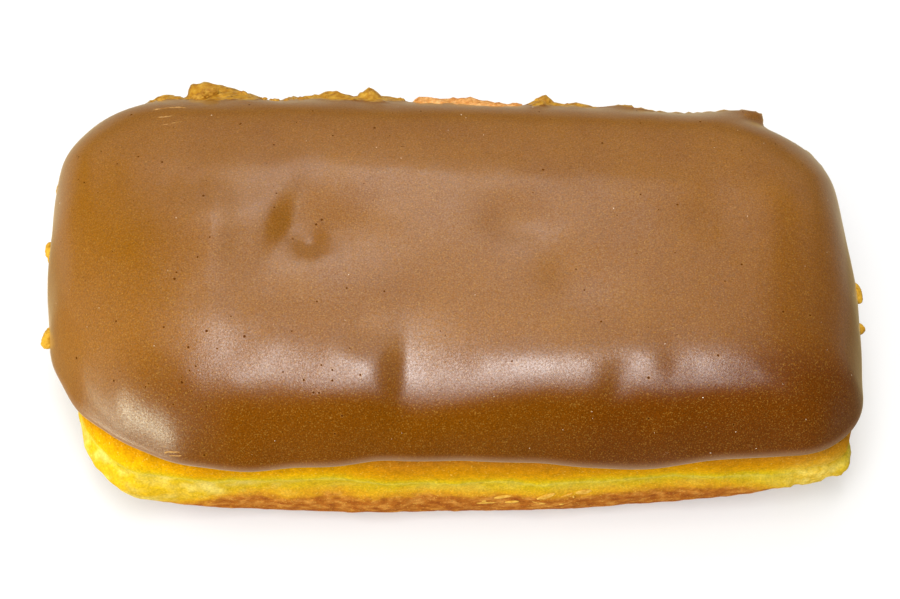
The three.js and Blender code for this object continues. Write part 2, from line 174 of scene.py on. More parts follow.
def bar_point(angle, tilt, share, skin):
    """Points of the bar grown by a skin. The tilt runs from -90 under the base to 90 on top."""
    arrays = [np.asarray(value, float) for value in (angle, tilt, share, skin)]
    angle, tilt, share, skin = np.broadcast_arrays(*arrays)
    low_x, low_y = plan_point(angle, BASE_CORNERS, skin)
    for foot_x, foot_y, half, push in FEET:
        low_x = low_x + push * bump(low_x - foot_x, half) * bump(low_y - foot_y, half)
    high_x, high_y = plan_point(angle, TOP_CORNERS, skin)
    blend = smoothstep(tilt, *CORNER_BLEND)
    plan_x, plan_y = low_x + (high_x - low_x) * blend, low_y + (high_y - low_y) * blend
    is_top = tilt > 0
    power = np.where(is_top, 2 / top_power(plan_x, plan_y), 2 / BASE_POWER)
    roll_x = np.where(is_top, TOP_ROLL[0], BASE_ROLL[0])
    roll_y = np.where(is_top, TOP_ROLL[1], BASE_ROLL[1])
    cosine = np.maximum(np.cos(np.radians(tilt)), 0)
    inset = 1 - cosine**power
    reach = np.abs(np.sin(np.radians(tilt))) ** power
    sideways = LUMP_DEPTH * lumps(plan_x, plan_y, tilt) * cosine
    rise = reach * np.where(is_top, TOP_RISE, -BASE_DROP)
    sideways = sideways - PROOF_LINE["depth"] * bump(rise - PROOF_LINE["rise"], PROOF_LINE["half"])
    x = share * plan_x * (1 - inset * roll_x / REACH_X + sideways / REACH_X)
    y = share * plan_y * (1 - inset * roll_y / REACH_Y + sideways / REACH_Y)
    crown = CROWN * reach * (1 - (x / REACH_X) ** 2) * (1 - (y / REACH_Y) ** 2)
    top = WIDEST_Z + (TOP_RISE + skin) * reach + crown - reach * (dent_depth(x, y) + top_fall(x, y))
    end_share = np.minimum(np.abs(share * plan_x) / REACH_X, 1)
    base = WIDEST_Z - (BASE_DROP + skin) * reach * (1 - END_LIFT * end_share**END_LIFT_POWER)
    return np.stack([x, y, np.where(is_top, top, np.maximum(base, -skin))], -1)


OUTLINE_STEPS = 4000
FIRST_ANGLE = math.atan2(-HALF_WIDTH, -HALF_LENGTH)
turns = np.linspace(0, 2 * math.pi, OUTLINE_STEPS + 1)
ring_x, ring_y = plan_point(FIRST_ANGLE + turns, TOP_CORNERS, 0.0)
walked = np.concatenate([[0], np.cumsum(np.hypot(np.diff(ring_x), np.diff(ring_y)))])


def angle_at(share):
    """Angle of the place that lies a share of the way round the outline, front left first."""
    return FIRST_ANGLE + np.interp(np.mod(share, 1.0) * walked[-1], walked, turns)


def outline_point(share):
    return plan_point(angle_at(share), TOP_CORNERS, 0.0)


def waves_round(share, waves):
    """Waves along the outline. Each gives its number round the bar, its start and its height."""
    return sum(part * np.sin(share * 2 * math.pi * count + start) for count, start, part in waves)


print("outline of the bar:", round(walked[-1], 1), "mm round")

# %% [markdown]
# ## The edge of the icing
# Icing that a bar was pressed into ends in a rim that wavers, with a rounded bead where it ran and
# set. At the back of this bar it tore when the bars were pulled apart, so the rim curls out there and
# leaves a patch of crust bare. These short rules say how high the rim stands and how far it curls.

# %% Rim rules
CLEARANCE, ICING_SKIN, RIM_BEAD = 0.3, 1.5, 0.35
RIM = {"front": 7.0, "back": 14.5, "left": 3.2, "right": 7.5, "wave": 0.8, "front_calm": 0.25}
RIM_WAVES = ((9, 0.6, 1.0), (23, 2.0, 0.6))   # number round the bar, start, height
RIM_END_POWER = 6
FRONT_SWELLS = ((-3.0, 22.0, 2.1), (30.0, 10.0, -1.9))   # x, half width, rise
FRONT_TO_BACK, BACK_ONLY = (-0.9, 0.9), (0.5, 0.9)   # shares of the half width where each sets in and is full
BACK_LIP = 0.3
LIP_HUMPS = (   # x, half widths to the left and to the right, and how far the torn rim curls out there
    (-50.5, 2.6, 2.6, 0.9), (-42.4, 3.6, 4.2, 3.1), (-38.4, 2.4, 2.4, 1.5), (-35.2, 1.5, 1.2, 0.8),
    (-28.6, 3.0, 3.0, 0.7), (-21.4, 4.0, 4.0, 1.5), (-14.6, 1.9, 1.9, 2.1), (-10.6, 1.5, 1.5, 0.8),
    (15.2, 2.0, 1.8, 2.0), (21.4, 3.0, 3.0, 0.8), (28.6, 4.0, 4.0, 0.5), (52.4, 8.0, 2.0, 2.0),
)
BARE_CRUST = {   # the patch at the back that the torn icing left bare
    "x": 2.0, "half": 11.0, "edge": 3.0, "tilt": 38.0, "spread": 18.0, "swell": 3.0, "rim_lift": 2.0}
FRONT_MIDDLE, BACK_MIDDLE = 1 / 6, 2 / 3   # shares of the way round the outline


def bareness(x, y):
    to_back = smoothstep(y / REACH_Y, *BACK_ONLY)
    half, edge = BARE_CRUST["half"], BARE_CRUST["edge"]
    return to_back * (1 - smoothstep(np.abs(x - BARE_CRUST["x"]), half - edge, half + edge))


def bare_swell(share, tilt):
    x, y = outline_point(share)
    return BARE_CRUST["swell"] * bareness(x, y) * bump(tilt - BARE_CRUST["tilt"], BARE_CRUST["spread"])


def rim_rise(share):
    x, y = outline_point(share)
    to_back = smoothstep(y / REACH_Y, *FRONT_TO_BACK)
    to_end = (np.abs(x) / REACH_X) ** RIM_END_POWER
    front = RIM["front"] + sum(rise * bump(x - at, half) for at, half, rise in FRONT_SWELLS)
    level = front + (RIM["back"] - front) * to_back
    level = level + (np.where(x < 0, RIM["left"], RIM["right"]) - level) * to_end
    calm = RIM["front_calm"] + (1 - RIM["front_calm"]) * to_back
    wave = RIM["wave"] * calm * waves_round(share, RIM_WAVES)
    return level + wave + BARE_CRUST["rim_lift"] * bareness(x, y)


def lip_reach(share):
    x, y = outline_point(share)
    reach = np.full_like(x, BACK_LIP)
    for at, half_left, half_right, out in LIP_HUMPS:
        reach = reach + out * bump(x - at, np.where(x < at, half_left, half_right))
    return smoothstep(y / REACH_Y, *BACK_ONLY) * reach * (1 - bareness(x, y))


def tilt_at_rise(rise, share):
    x, y = outline_point(share)
    return np.degrees(np.arcsin(np.clip(rise / TOP_RISE, 0, 1) ** (top_power(x, y) / 2)))


print("rim over the widest line at the front and the back:",
      [round(float(rim_rise(share)), 1) for share in (FRONT_MIDDLE, BACK_MIDDLE)])

# %% [markdown]
# ## A block to wrap the form on
# Both the dough and the icing are closed bodies with a top, a side all round and an underside. A box
# divided into squares has just that layout, and its squares stay nearly even when it is bent into a
# pillow, which rings drawn round a pole would not. The helper below numbers the points of such a box
# and returns its faces, so a piece only has to say where each point goes.

# %% Block helper
LONG_SIDE = 1 / 3   # share of the outline along the front, and again along the back
SHORT_SIDE = 0.5 - LONG_SIDE
NEARLY = 1e-6   # as near to a side or to the middle as makes no difference


def block_layout(columns, across, rings):
    """Shares round the outline and from the middle, ring numbers and faces of a box of squares."""
    edge_column = [*range(columns), *[columns] * across, *range(columns, 0, -1), *[0] * across]
    edge_row = [*[0] * columns, *range(across), *[across] * columns, *range(across, 0, -1)]
    edge_count = len(edge_row)
    inside_x = np.repeat(np.linspace(-1, 1, columns + 1)[1:-1], across - 1)
    inside_y = np.tile(np.linspace(-1, 1, across + 1)[1:-1], columns - 1)
    inside_out = np.maximum(np.maximum(np.abs(inside_x), np.abs(inside_y)), NEARLY)
    x, y = inside_x / inside_out, inside_y / inside_out
    on_front, on_right, on_back = y <= -1 + NEARLY, x >= 1 - NEARLY, y >= 1 - NEARLY
    inside_share = 0.5 + LONG_SIDE + (1 - y) / 2 * SHORT_SIDE
    inside_share = np.where(on_back, 0.5 + (1 - x) / 2 * LONG_SIDE, inside_share)
    inside_share = np.where(on_right, LONG_SIDE + (y + 1) / 2 * SHORT_SIDE, inside_share)
    inside_share = np.where(on_front, (x + 1) / 2 * LONG_SIDE, inside_share)
    inside_count, edge_total = len(inside_share), edge_count * (rings + 1)
    place = np.arange(edge_count)
    share = np.concatenate([np.tile(place / edge_count, rings + 1), inside_share, inside_share])
    middle = np.concatenate([np.ones(edge_total), inside_out, inside_out])
    inside_ring = np.repeat([0, rings], inside_count)
    ring = np.concatenate([np.repeat(np.arange(rings + 1), edge_count), inside_ring])

    following = np.roll(place, -1)
    faces = []
    for upper in range(0, edge_total - edge_count, edge_count):
        lower = upper + edge_count
        faces += np.stack([upper + place, lower + place, lower + following, upper + following], -1).tolist()
    top, underside = (0, edge_total, 1), (edge_total - edge_count, edge_total + inside_count, -1)
    for first_edge, first_inside, turn in (top, underside):
        number = np.zeros((columns + 1, across + 1), int)
        number[edge_column, edge_row] = first_edge + place
        number[1:-1, 1:-1] = first_inside + np.arange(inside_count).reshape(columns - 1, across - 1)
        corners = (number[:-1, :-1], number[1:, :-1], number[1:, 1:], number[:-1, 1:])
        faces += np.stack(corners[::turn], -1).reshape(-1, 4).tolist()
    return share, middle, ring, faces


def add_object(name, data):
    made = bpy.data.objects.new(name, data)
    bpy.context.collection.objects.link(made)
    return made


def add_mesh(name, points_mm, faces):
    """A mesh object at the origin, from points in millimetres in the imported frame."""
    mesh = bpy.data.meshes.new(name)
    mesh.from_pydata((np.asarray(points_mm) * MM).tolist(), [], faces)
    mesh.polygons.foreach_set("use_smooth", np.ones(len(mesh.polygons), bool))
    mesh.update()
    return add_object(name, mesh)


def set_values(piece, **layers):
    """Gives every point of a piece a value under each of the names."""
    for name, values in layers.items():
        layer = piece.data.attributes.new(name, "FLOAT", "POINT")
        layer.data.foreach_set("value", np.asarray(values, np.float32))


# %% [markdown]
# ## Node helpers
# Both finishes and shapes are made by nodes from here on. A node tree is easier to read when each node
# is one line that names its inputs, so the first helpers make nodes that way. The next two start a
# geometry tree with named inputs for its sizes, and run a tree on a piece and keep the result as a
# plain mesh, because only plain meshes leave Blender whole. The rest are short runs of nodes that
# several trees share. The relief tree is the first to use them: it pushes a surface in and out.

# %% Node helpers


def add_node(tree, kind, inputs=None, **settings):
    """One node with its settings, and inputs that are numbers or other nodes' outputs."""
    node = tree.nodes.new(kind)
    for name, value in settings.items():
        setattr(node, name, value)
    for name, value in (inputs or {}).items():
        if isinstance(value, bpy.types.NodeSocket):
            tree.links.new(value, node.inputs[name])
        else:
            node.inputs[name].default_value = value
    return node


def output_of(tree, kind, inputs=None, **settings):
    """The first output of a new node."""
    return add_node(tree, kind, inputs, **settings).outputs[0]


def reckon(tree, operation, *numbers):
    return output_of(tree, "ShaderNodeMath", dict(enumerate(numbers)), operation=operation)


def times(tree, first, second):
    return reckon(tree, "MULTIPLY", first, second)


def new_tree(name, inputs):
    """A geometry tree with named inputs. Returns it with its input and output sockets."""
    tree = bpy.data.node_groups.new(name, "GeometryNodeTree")
    tree.interface.new_socket("Geometry", in_out="INPUT", socket_type="NodeSocketGeometry")
    for label, kind in inputs.items():
        tree.interface.new_socket(label, in_out="INPUT", socket_type="NodeSocket" + kind)
    tree.interface.new_socket("Geometry", in_out="OUTPUT", socket_type="NodeSocketGeometry")
    return tree, tree.nodes.new("NodeGroupInput").outputs, tree.nodes.new("NodeGroupOutput").inputs


def apply_tree(piece, tree, values):
    """Runs a tree on a piece with the given inputs and keeps the result as its plain mesh."""
    modifier = piece.modifiers.new(tree.name, "NODES")
    modifier.node_group = tree
    for item in tree.interface.items_tree:
        if item.in_out == "INPUT" and item.name in values:
            modifier[item.identifier] = values[item.name]
    graph = bpy.context.evaluated_depsgraph_get()
    made = piece.evaluated_get(graph)
    mesh = bpy.data.meshes.new_from_object(made, preserve_all_data_layers=True, depsgraph=graph)
    piece.modifiers.remove(modifier)
    piece.data = mesh
    mesh.name = piece.name
    print(tree.name, "made", piece.name, "with", len(mesh.polygons), "faces")


def carried(tree, name, kind="FLOAT"):
    """An attribute that the points carry."""
    return output_of(tree, "GeometryNodeInputNamedAttribute", {"Name": name}, data_type=kind)


def noise_in_space(tree, size, detail=2.0, roughness=0.5):
    """Outputs of a noise whose features have the given size."""
    place, scale = output_of(tree, "GeometryNodeInputPosition"), reckon(tree, "DIVIDE", 1.0, size)
    inputs = {"Vector": place, "Scale": scale, "Detail": detail, "Roughness": roughness}
    return add_node(tree, "ShaderNodeTexNoise", inputs).outputs


def centred_noise(tree, size, *details):
    return reckon(tree, "SUBTRACT", noise_in_space(tree, size, *details)["Fac"], 0.5)


def scaled(tree, vector, factor):
    return output_of(tree, "ShaderNodeVectorMath", {0: vector, "Scale": factor}, operation="SCALE")


def pushed_out(tree, geometry, height):
    """A geometry whose points are moved along their normals."""
    push = scaled(tree, output_of(tree, "GeometryNodeInputNormal"), height)
    return output_of(tree, "GeometryNodeSetPosition", {"Geometry": geometry, "Offset": push})


def end_tree(tree, result, geometry, finish):
    """Gives a geometry its finish and makes it the tree's result."""
    dressed = output_of(tree, "GeometryNodeSetMaterial", {"Geometry": geometry, "Material": finish})
    tree.links.new(dressed, result["Geometry"])


def relief_tree():
    """Pushes a surface along its normals by coarse and fine noise, as far as an attribute says."""
    sizes = dict.fromkeys(("Coarse size", "Coarse depth", "Fine size", "Fine depth"), "Float")
    tree, given, result = new_tree("surface_relief", {"Where": "String", **sizes})
    coarse, fine = (times(tree, centred_noise(tree, given[grade + " size"]), given[grade + " depth"])
                    for grade in ("Coarse", "Fine"))
    height = times(tree, reckon(tree, "ADD", coarse, fine), carried(tree, given["Where"]))
    tree.links.new(pushed_out(tree, given["Geometry"], height), result["Geometry"])
    return tree


surface_relief = relief_tree()


def add_relief(piece, where, coarse, fine):
    """Relief on a piece: size and depth of its coarse and of its fine layer, in millimetres."""
    apply_tree(piece, surface_relief, {
        "Where": where, "Coarse size": coarse[0] * MM, "Coarse depth": coarse[1] * MM,
        "Fine size": fine[0] * MM, "Fine depth": fine[1] * MM})


# %% [markdown]
# ## Helpers for finishes
# A food surface is never one colour. Each finish below mixes a few colours by noise of a stated size in
# millimetres, or by an attribute that the surface carries, such as the height over the pale line. The
# helpers turn those into one line each. All noise reads Object coordinates, so it stays on the piece.

# %% Finish helpers
USUAL_SPAN = (0.3, 0.7)   # where most of a noise lies


def new_finish(name, constants):
    material = bpy.data.materials.new(name)
    material.use_nodes = True
    tree = material.node_tree
    shader = tree.nodes["Principled BSDF"]
    for socket, value in constants.items():
        shader.inputs[socket].default_value = value
    return material, tree, shader


def noise_of(tree, size_mm, detail, along=1.0):
    """Noise whose features measure about the given size, and may be drawn out along the bar."""
    place = add_node(tree, "ShaderNodeTexCoord").outputs["Object"]
    drawn = output_of(tree, "ShaderNodeMapping", {"Vector": place, "Scale": (1 / along, 1, 1)})
    inputs = {"Vector": drawn, "Scale": 1 / (size_mm * MM), "Detail": detail}
    return add_node(tree, "ShaderNodeTexNoise", inputs).outputs["Fac"]


def noises_of(tree, sizes):
    return {name: noise_of(tree, *size) for name, size in sizes.items()}


def value_of(tree, name):
    return add_node(tree, "ShaderNodeAttribute", attribute_name=name).outputs["Fac"]


def share_between(tree, value, low, high):
    inputs = {"Value": value, "From Min": low, "From Max": high}
    return output_of(tree, "ShaderNodeMapRange", inputs, interpolation_type="SMOOTHSTEP")


def colours_along(tree, value, stops):
    """A ramp of colours along a value. Each stop gives the value and its colour."""
    (low, low_colour), *middle, (high, high_colour) = stops
    spread = output_of(tree, "ShaderNodeMapRange", {"Value": value, "From Min": low, "From Max": high})
    ramp = add_node(tree, "ShaderNodeValToRGB", {"Fac": spread})
    elements = ramp.color_ramp.elements
    elements[0].color, elements[1].color = (*low_colour, 1), (*high_colour, 1)
    for place, colour in middle:
        elements.new((place - low) / (high - low)).color = (*colour, 1)
    return ramp.outputs["Color"]


def blend(tree, share, first, second):
    """The first colour where the share is 0 and the second where it is 1."""
    first, second = (v if isinstance(v, bpy.types.NodeSocket) else (*v, 1) for v in (first, second))
    return add_node(tree, "ShaderNodeMix", {0: share, 6: first, 7: second}, data_type="RGBA").outputs[2]


def wobbled(tree, value, noise, reach):
    """A value moved up and down by noise, by up to half the reach either way."""
    return reckon(tree, "ADD", value, times(tree, reckon(tree, "SUBTRACT", noise, 0.5), reach))


def ranged(tree, noise, low, high, span=USUAL_SPAN):
    """Noise spread so that its span runs from a low to a high value."""
    inputs = {"Value": noise, "From Min": span[0], "From Max": span[1], "To Min": low, "To Max": high}
    return output_of(tree, "ShaderNodeMapRange", inputs)


def shaded(tree, colour, noise, low, high):
    """A colour made darker and lighter by noise."""
    return scaled(tree, colour, ranged(tree, noise, low, high))


def add_grain(tree, shader, layers):
    """Fine bumps that light catches: each layer gives size, detail and depth, lengths in millimetres."""
    inputs = {"Strength": 1.0}
    for size, detail, depth in layers:
        inputs.update({"Height": noise_of(tree, size, detail), "Distance": depth * MM})
        inputs["Normal"] = output_of(tree, "ShaderNodeBump", inputs)
    tree.links.new(inputs["Normal"], shader.inputs["Normal"])


def mottled_finish(name, constants, colours, size_mm, detail, grain=None):
    """A finish of a few colours that one noise mixes, with a grain if one is given."""
    material, tree, shader = new_finish(name, constants)
    colour = colours_along(tree, noise_of(tree, size_mm, detail), colours)
    tree.links.new(colour, shader.inputs["Base Color"])
    if grain:
        add_grain(tree, shader, (grain,))
    return material


# %% [markdown]
# ## The finish of the fried crust
# A bar floats while it fries, so its crust is banded. Under the icing it is orange-brown and turns
# golden, a cream line marks where it lay out of the oil, the soft side below is yellow, and the base is
# brown. The bands follow the height over the pale line, which each point carries, and noise breaks
# their edges up. Pale patches cloud the soft side, and a torn or bare place has colours of its own.

# %% Crust finish
CRUST_BANDS = (   # millimetres over the pale line, and the colour there
    (-4.0, (0.64, 0.39, 0.012)),
    (-2.2, (0.65, 0.42, 0.012)),
    (-1.0, (0.64, 0.43, 0.012)),
    (-0.4, (0.63, 0.45, 0.018)),
    (0.0, (0.66, 0.51, 0.055)),
    (0.5, (0.64, 0.455, 0.010)),
    (1.3, (0.69, 0.41, 0.003)),
    (2.6, (0.69, 0.34, 0.001)),
    (4.5, (0.60, 0.255, 0.001)),
    (8.0, (0.48, 0.17, 0.008)),
)
CREAM_PATCH, GOLDEN_TOAST = (0.77, 0.59, 0.13), (0.70, 0.34, 0.012)
BROWNS = ((0.3, (0.30, 0.075, 0.010)), (0.5, (0.44, 0.14, 0.016)), (0.7, (0.64, 0.28, 0.05)))
BARE_ORANGES = ((0.3, (0.50, 0.18, 0.04)), (0.5, (0.68, 0.31, 0.09)), (0.7, (0.82, 0.46, 0.18)))
TORN_CREAMS = ((0.35, (0.72, 0.45, 0.03)), (0.65, (0.88, 0.66, 0.13)))
PALE_FLECK = (0.84, 0.60, 0.12)
CRUST_NOISES = {   # size in millimetres, detail, and how far it is drawn out along the bar
    "drift": (6.0, 2.0, 1.6), "band edge": (1.1, 4.0, 1.4), "cloud": (3.2, 2.0, 1.6), "mottle": (1.5, 4.0),
    "toast": (6.5, 3.0, 2.0), "toast edge": (1.2, 4.0, 1.5), "brown": (1.3, 5.0, 1.5),
    "bare": (1.0, 3.0), "torn": (1.4, 4.0), "fleck": (0.35, 1.0), "speckle": (0.4, 2.0),
}
CRUST_GRAIN = ((0.9, 3.0, 0.16), (0.35, 2.0, 0.05))   # size, detail and depth of each layer
BAND_WOBBLE, TOAST_WOBBLE = (2.0, 1.2), (5.0, 2.2)   # reach in millimetres of the slow noise and the fine one
UNDER_LINE = (0.3, -0.6)   # heights over the pale line between which the cream patches set in
TOAST_FADE, BROWN_FADE = (2.6, 0.0), (1.0, -1.6)   # heights over the brown base where each sets in
CLOUDS, FLECKS = (0.40, 0.72), (0.64, 0.74)   # values of their noise from which they show, and show fully
TOAST_SHARE, FLECK_SHARE = 0.85, 0.4
CRUST_MOTTLE, CRUST_SPECKLE = (0.86, 1.10), (0.80, 1.10)   # darkest and lightest


def crust_finish():
    material, tree, shader = new_finish("fried_crust", {"Roughness": 0.8, "Specular IOR Level": 0.02})
    noise = noises_of(tree, CRUST_NOISES)
    drifting = wobbled(tree, value_of(tree, "band"), noise["drift"], BAND_WOBBLE[0])
    band = wobbled(tree, drifting, noise["band edge"], BAND_WOBBLE[1])
    colour = colours_along(tree, band, CRUST_BANDS)
    creamy = times(tree, share_between(tree, noise["cloud"], *CLOUDS), value_of(tree, "creamy"))
    creamy = times(tree, creamy, share_between(tree, band, *UNDER_LINE))
    colour = blend(tree, creamy, colour, CREAM_PATCH)
    colour = shaded(tree, colour, noise["mottle"], *CRUST_MOTTLE)
    over_brown = wobbled(tree, value_of(tree, "over_brown"), noise["toast"], TOAST_WOBBLE[0])
    over_brown = wobbled(tree, over_brown, noise["toast edge"], TOAST_WOBBLE[1])
    toasted = times(tree, share_between(tree, over_brown, *TOAST_FADE), TOAST_SHARE)
    colour = blend(tree, toasted, colour, GOLDEN_TOAST)
    brown = colours_along(tree, noise["brown"], BROWNS)
    colour = blend(tree, share_between(tree, over_brown, *BROWN_FADE), colour, brown)
    for place, colours in (("bare", BARE_ORANGES), ("torn", TORN_CREAMS)):
        colour = blend(tree, value_of(tree, place), colour, colours_along(tree, noise[place], colours))
    flecked = times(tree, share_between(tree, noise["fleck"], *FLECKS), FLECK_SHARE)
    colour = blend(tree, flecked, colour, PALE_FLECK)
    colour = shaded(tree, colour, noise["speckle"], *CRUST_SPECKLE)
    tree.links.new(colour, shader.inputs["Base Color"])
    add_grain(tree, shader, CRUST_GRAIN)
    return material


fried_crust = crust_finish()
print("finish:", fried_crust.name)

# %% [markdown]
# ## The fried dough
# Under the icing the bar is fried dough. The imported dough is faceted, so a fine surface on the same rule
# takes its place, with a thin ridge along the pale line. Each point carries attributes for the finish:
# its height over the pale line and over the brown base, and how creamy, bare or torn the crust is. One
# more says where flakes will lie. The relief tree then blisters it, more where it was torn.

# %% Dough surface
DOUGH_COLUMNS, DOUGH_ACROSS, DOUGH_RINGS = 170, 84, 110
ROW_CROWDING = 1.6   # rows crowd towards the widest line
PALE_LINE, PALE_WAVES = -1.5, ((5, 0.4, 0.5), (13, 1.7, 0.3))
PALE_SWELLS = ((-20.0, 9.0, 2.3), (26.0, 12.0, -1.3), (55.0, 10.0, -1.5))   # x, half width, rise
PALE_RIDGE = {"half": 0.8, "height": 0.16}
BROWN_LINE, BROWN_MIDDLE, BROWN_ENDS, BROWN_DROP = -5.2, 7.0, (40.0, 64.0), 6.0
CREAMY_FROM, CREAMY_ALL_OVER = (15.0, 45.0), 0.25   # towards the left the soft side is paler
BARE_FADE = (3.0, 12.0)   # heights over the widest line between which the bare crust fades in
FLAKES = {"x": 13.0, "half": 14.0, "rise": -6.8, "tall": 1.4, "off_front": 0.15}
TORN_CORNER = {"x": 64.0, "y": -33.0, "half": 5.0, "rise": -4.5, "tall": 5.0, "strength": 1.2}
BLISTERS = {"all_over": 0.5, "bare": 1.6, "torn": 2.0}   # how far the relief goes
CRUST_RELIEF = ((3.0, 1.2), (1.1, 0.45))   # size and depth, coarse and fine


def pale_line(share, x, y):
    """Height of the pale line over the widest line. It wanders, most along the front."""
    to_front = 1 - smoothstep(y / REACH_Y, *FRONT_TO_BACK)
    swells = sum(rise * bump(x - at, half) for at, half, rise in PALE_SWELLS)
    return PALE_LINE + waves_round(share, PALE_WAVES) + swells * to_front


def dough_surface():
    share, middle, ring, faces = block_layout(DOUGH_COLUMNS, DOUGH_ACROSS, DOUGH_RINGS)
    height = 1 - 2 * ring / DOUGH_RINGS
    tilt = 90 * np.sign(height) * np.abs(height) ** ROW_CROWDING
    points = bar_point(angle_at(share), tilt, middle, bare_swell(share, tilt))
    band = points[:, 2] - WIDEST_Z - pale_line(share, points[:, 0], points[:, 1])
    on_side = np.where(middle < 1, 0.0, 1.0)
    ridge = PALE_RIDGE["height"] * bump(band, PALE_RIDGE["half"]) * on_side
    points[:, :2] *= 1 + (ridge / np.maximum(np.hypot(points[:, 0], points[:, 1]), 1))[:, None]
    return points, faces, band


dough_points, dough_faces, dough_band = dough_surface()
packed_low, packed_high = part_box("dough")
packed_middle = np.array([(packed_low.x + packed_high.x) / 2, (packed_low.y + packed_high.y) / 2]) / MM
form_middle = (dough_points[:, :2].min(0) + dough_points[:, :2].max(0)) / 2
SHIFT = np.array([*(packed_middle - form_middle), 0.0])
dough = add_mesh("dough_crust", dough_points + SHIFT, dough_faces)
x, y = dough_points[:, 0], dough_points[:, 1]
rise = dough_points[:, 2] - WIDEST_Z
bare = bareness(x, y) * smoothstep(rise, *BARE_FADE)
near_corner = bump(x - TORN_CORNER["x"], TORN_CORNER["half"])
near_corner = near_corner * bump(y - TORN_CORNER["y"], TORN_CORNER["half"])
near_corner = near_corner * bump(rise - TORN_CORNER["rise"], TORN_CORNER["tall"])
torn = np.clip(TORN_CORNER["strength"] * near_corner, 0, 1)
near_flakes = bump(x - FLAKES["x"], FLAKES["half"]) * bump(rise - FLAKES["rise"], FLAKES["tall"])
end_drop = BROWN_DROP * smoothstep(np.abs(x - BROWN_MIDDLE), *BROWN_ENDS)
set_values(
    dough,
    band=dough_band,
    over_brown=rise - BROWN_LINE + end_drop,
    creamy=CREAMY_ALL_OVER + (1 - CREAMY_ALL_OVER) * smoothstep(-x, *CREAMY_FROM),
    bare=bare,
    torn=torn,
    rough=BLISTERS["all_over"] + BLISTERS["bare"] * bare + BLISTERS["torn"] * torn,
    flaky=near_flakes * np.where(y < -HALF_WIDTH / 2, 1.0, FLAKES["off_front"]),
)
dough.data.materials.append(fried_crust)
add_relief(dough, "rough", *CRUST_RELIEF)
print("form moved into the frame by", SHIFT.round(2), "mm")

# %% [markdown]
# ## The camera
# The photograph looks down on the front of the bar with a long lens. A long lens keeps the back edge
# nearly as wide as the front edge, so the focal length and the distance were found together, from how
# much the outline narrows towards the back.

# %% Camera
LENS_MM, SENSOR_MM = 97, 36
VIEW_DISTANCE, NEAREST = 440 * MM, 10 * MM
VIEW_ELEVATION, VIEW_TURN = math.radians(55), math.radians(0.5)
VIEW_TARGET = (-0.6, 1.5, 16.5)   # millimetres in the bar's own form


def add_camera():
    flat = math.cos(VIEW_ELEVATION)
    back = Vector((math.sin(VIEW_TURN) * flat, -math.cos(VIEW_TURN) * flat, math.sin(VIEW_ELEVATION)))
    lens = bpy.data.cameras.new("photo_camera")
    lens.lens = LENS_MM
    lens.sensor_width = SENSOR_MM
    lens.clip_start = NEAREST
    camera = add_object("photo_camera", lens)
    camera.location = Vector(np.array(VIEW_TARGET) + SHIFT) * MM + back * VIEW_DISTANCE
    camera.rotation_euler = (-back).to_track_quat("-Z", "Y").to_euler()
    bpy.context.scene.camera = camera
    return camera


camera = add_camera()
print("camera at", [round(v, 3) for v in camera.location])

# %% [markdown]
# ## The finish of the icing
# Maple icing sets to a satin skin. Its gloss is that of sugar, blurred by a grain too fine to see one
# by one, and its brown is flecked with paler sugar, whose flecks also paint glints, and darker syrup.
# Painted light makes its brown lighter and more orange at the left end, and painted shade makes it
# darker at the front and the right, where it is also dull. A painted reflection lightens the bead along
# the rim, and the torn rim is golden and crumbly: the skin's attributes say where. Sugar on the surface
# also lightens edges that are seen at a slant, which the shader's sheen does. Bubble pits have a darker
# finish, a painted shade for the light that is lost in them, and scuffed icing is paler, so both get a
# finish of their own.

# %% Icing finish
ICING_BROWNS = ((0.3, (0.203, 0.068, 0.0)), (0.7, (0.229, 0.081, 0.0)))
# painted light makes the left end lighter, and painted shade darkens the front and the right
PAINTED_LIGHT_BROWN, PAINTED_SHADE_BROWN = (0.230, 0.081, 0.0), (0.122, 0.030, 0.0)
PAINTED_RIM_REFLECTION = (0.30, 0.165, 0.085)   # painted reflection of the pale floor along the bead of the rim
# the pale sugar flecks also stand for painted glints of the gloss
SUGAR_AND_GLINT_FLECK, SYRUP_FLECK = (0.48, 0.28, 0.05), (0.17, 0.048, 0.0)
# painted shade inside the bubble pits
PIT_SHADE_BROWNS = ((0.3, (0.080, 0.022, 0.003)), (0.7, (0.150, 0.045, 0.005)))
SCUFFED_BROWNS = ((0.3, (0.28, 0.11, 0.008)), (0.7, (0.46, 0.25, 0.06)))
CRUMB_GOLDS = ((0.25, (0.26, 0.10, 0.006)), (0.45, (0.39, 0.175, 0.012)), (0.62, (0.50, 0.26, 0.025)),
               (0.8, (0.60, 0.36, 0.05)))
SUGARY_EDGE = {"Sheen Weight": 0.3, "Sheen Roughness": 0.35, "Sheen Tint": (1.0, 0.78, 0.35, 1.0)}
ICING_NOISES = {   # size in millimetres and detail
    "brown": (9.0, 3.0), "sugar_glint": (0.24, 1.0), "syrup": (0.36, 1.0), "speckle": (0.26, 1.0),
    "gold": (1.0, 4.0), "torn edge": (1.2, 3.0), "shine": (0.32, 2.0), "gloss": (4.0, 4.0),
}
ICING_GRAIN = ((0.3, 2.0, 0.017), (1.1, 3.0, 0.016))
# Flecks: values of their noise from which they show, and show fully, and their share of the colour
SUGAR_GLINT_SPAN, SUGAR_GLINT_SHARE = (0.57, 0.70), 0.26
SYRUP_SPAN, SYRUP_SHARE = (0.38, 0.28), 0.4
ICING_SPECKLE = (0.79, 1.21)   # darkest and lightest
TORN_WOBBLE, TORN_SPAN = 0.9, (0.4, 0.6)   # how far noise breaks the torn part's edge up
SHINE, TORN_DULL = (0.30, 0.70), 0.7   # strength of the mirror, and how much of it is lost where torn
ICING_ROUGHNESS, WHOLE_SPAN = (0.26, 0.34), (0, 1)


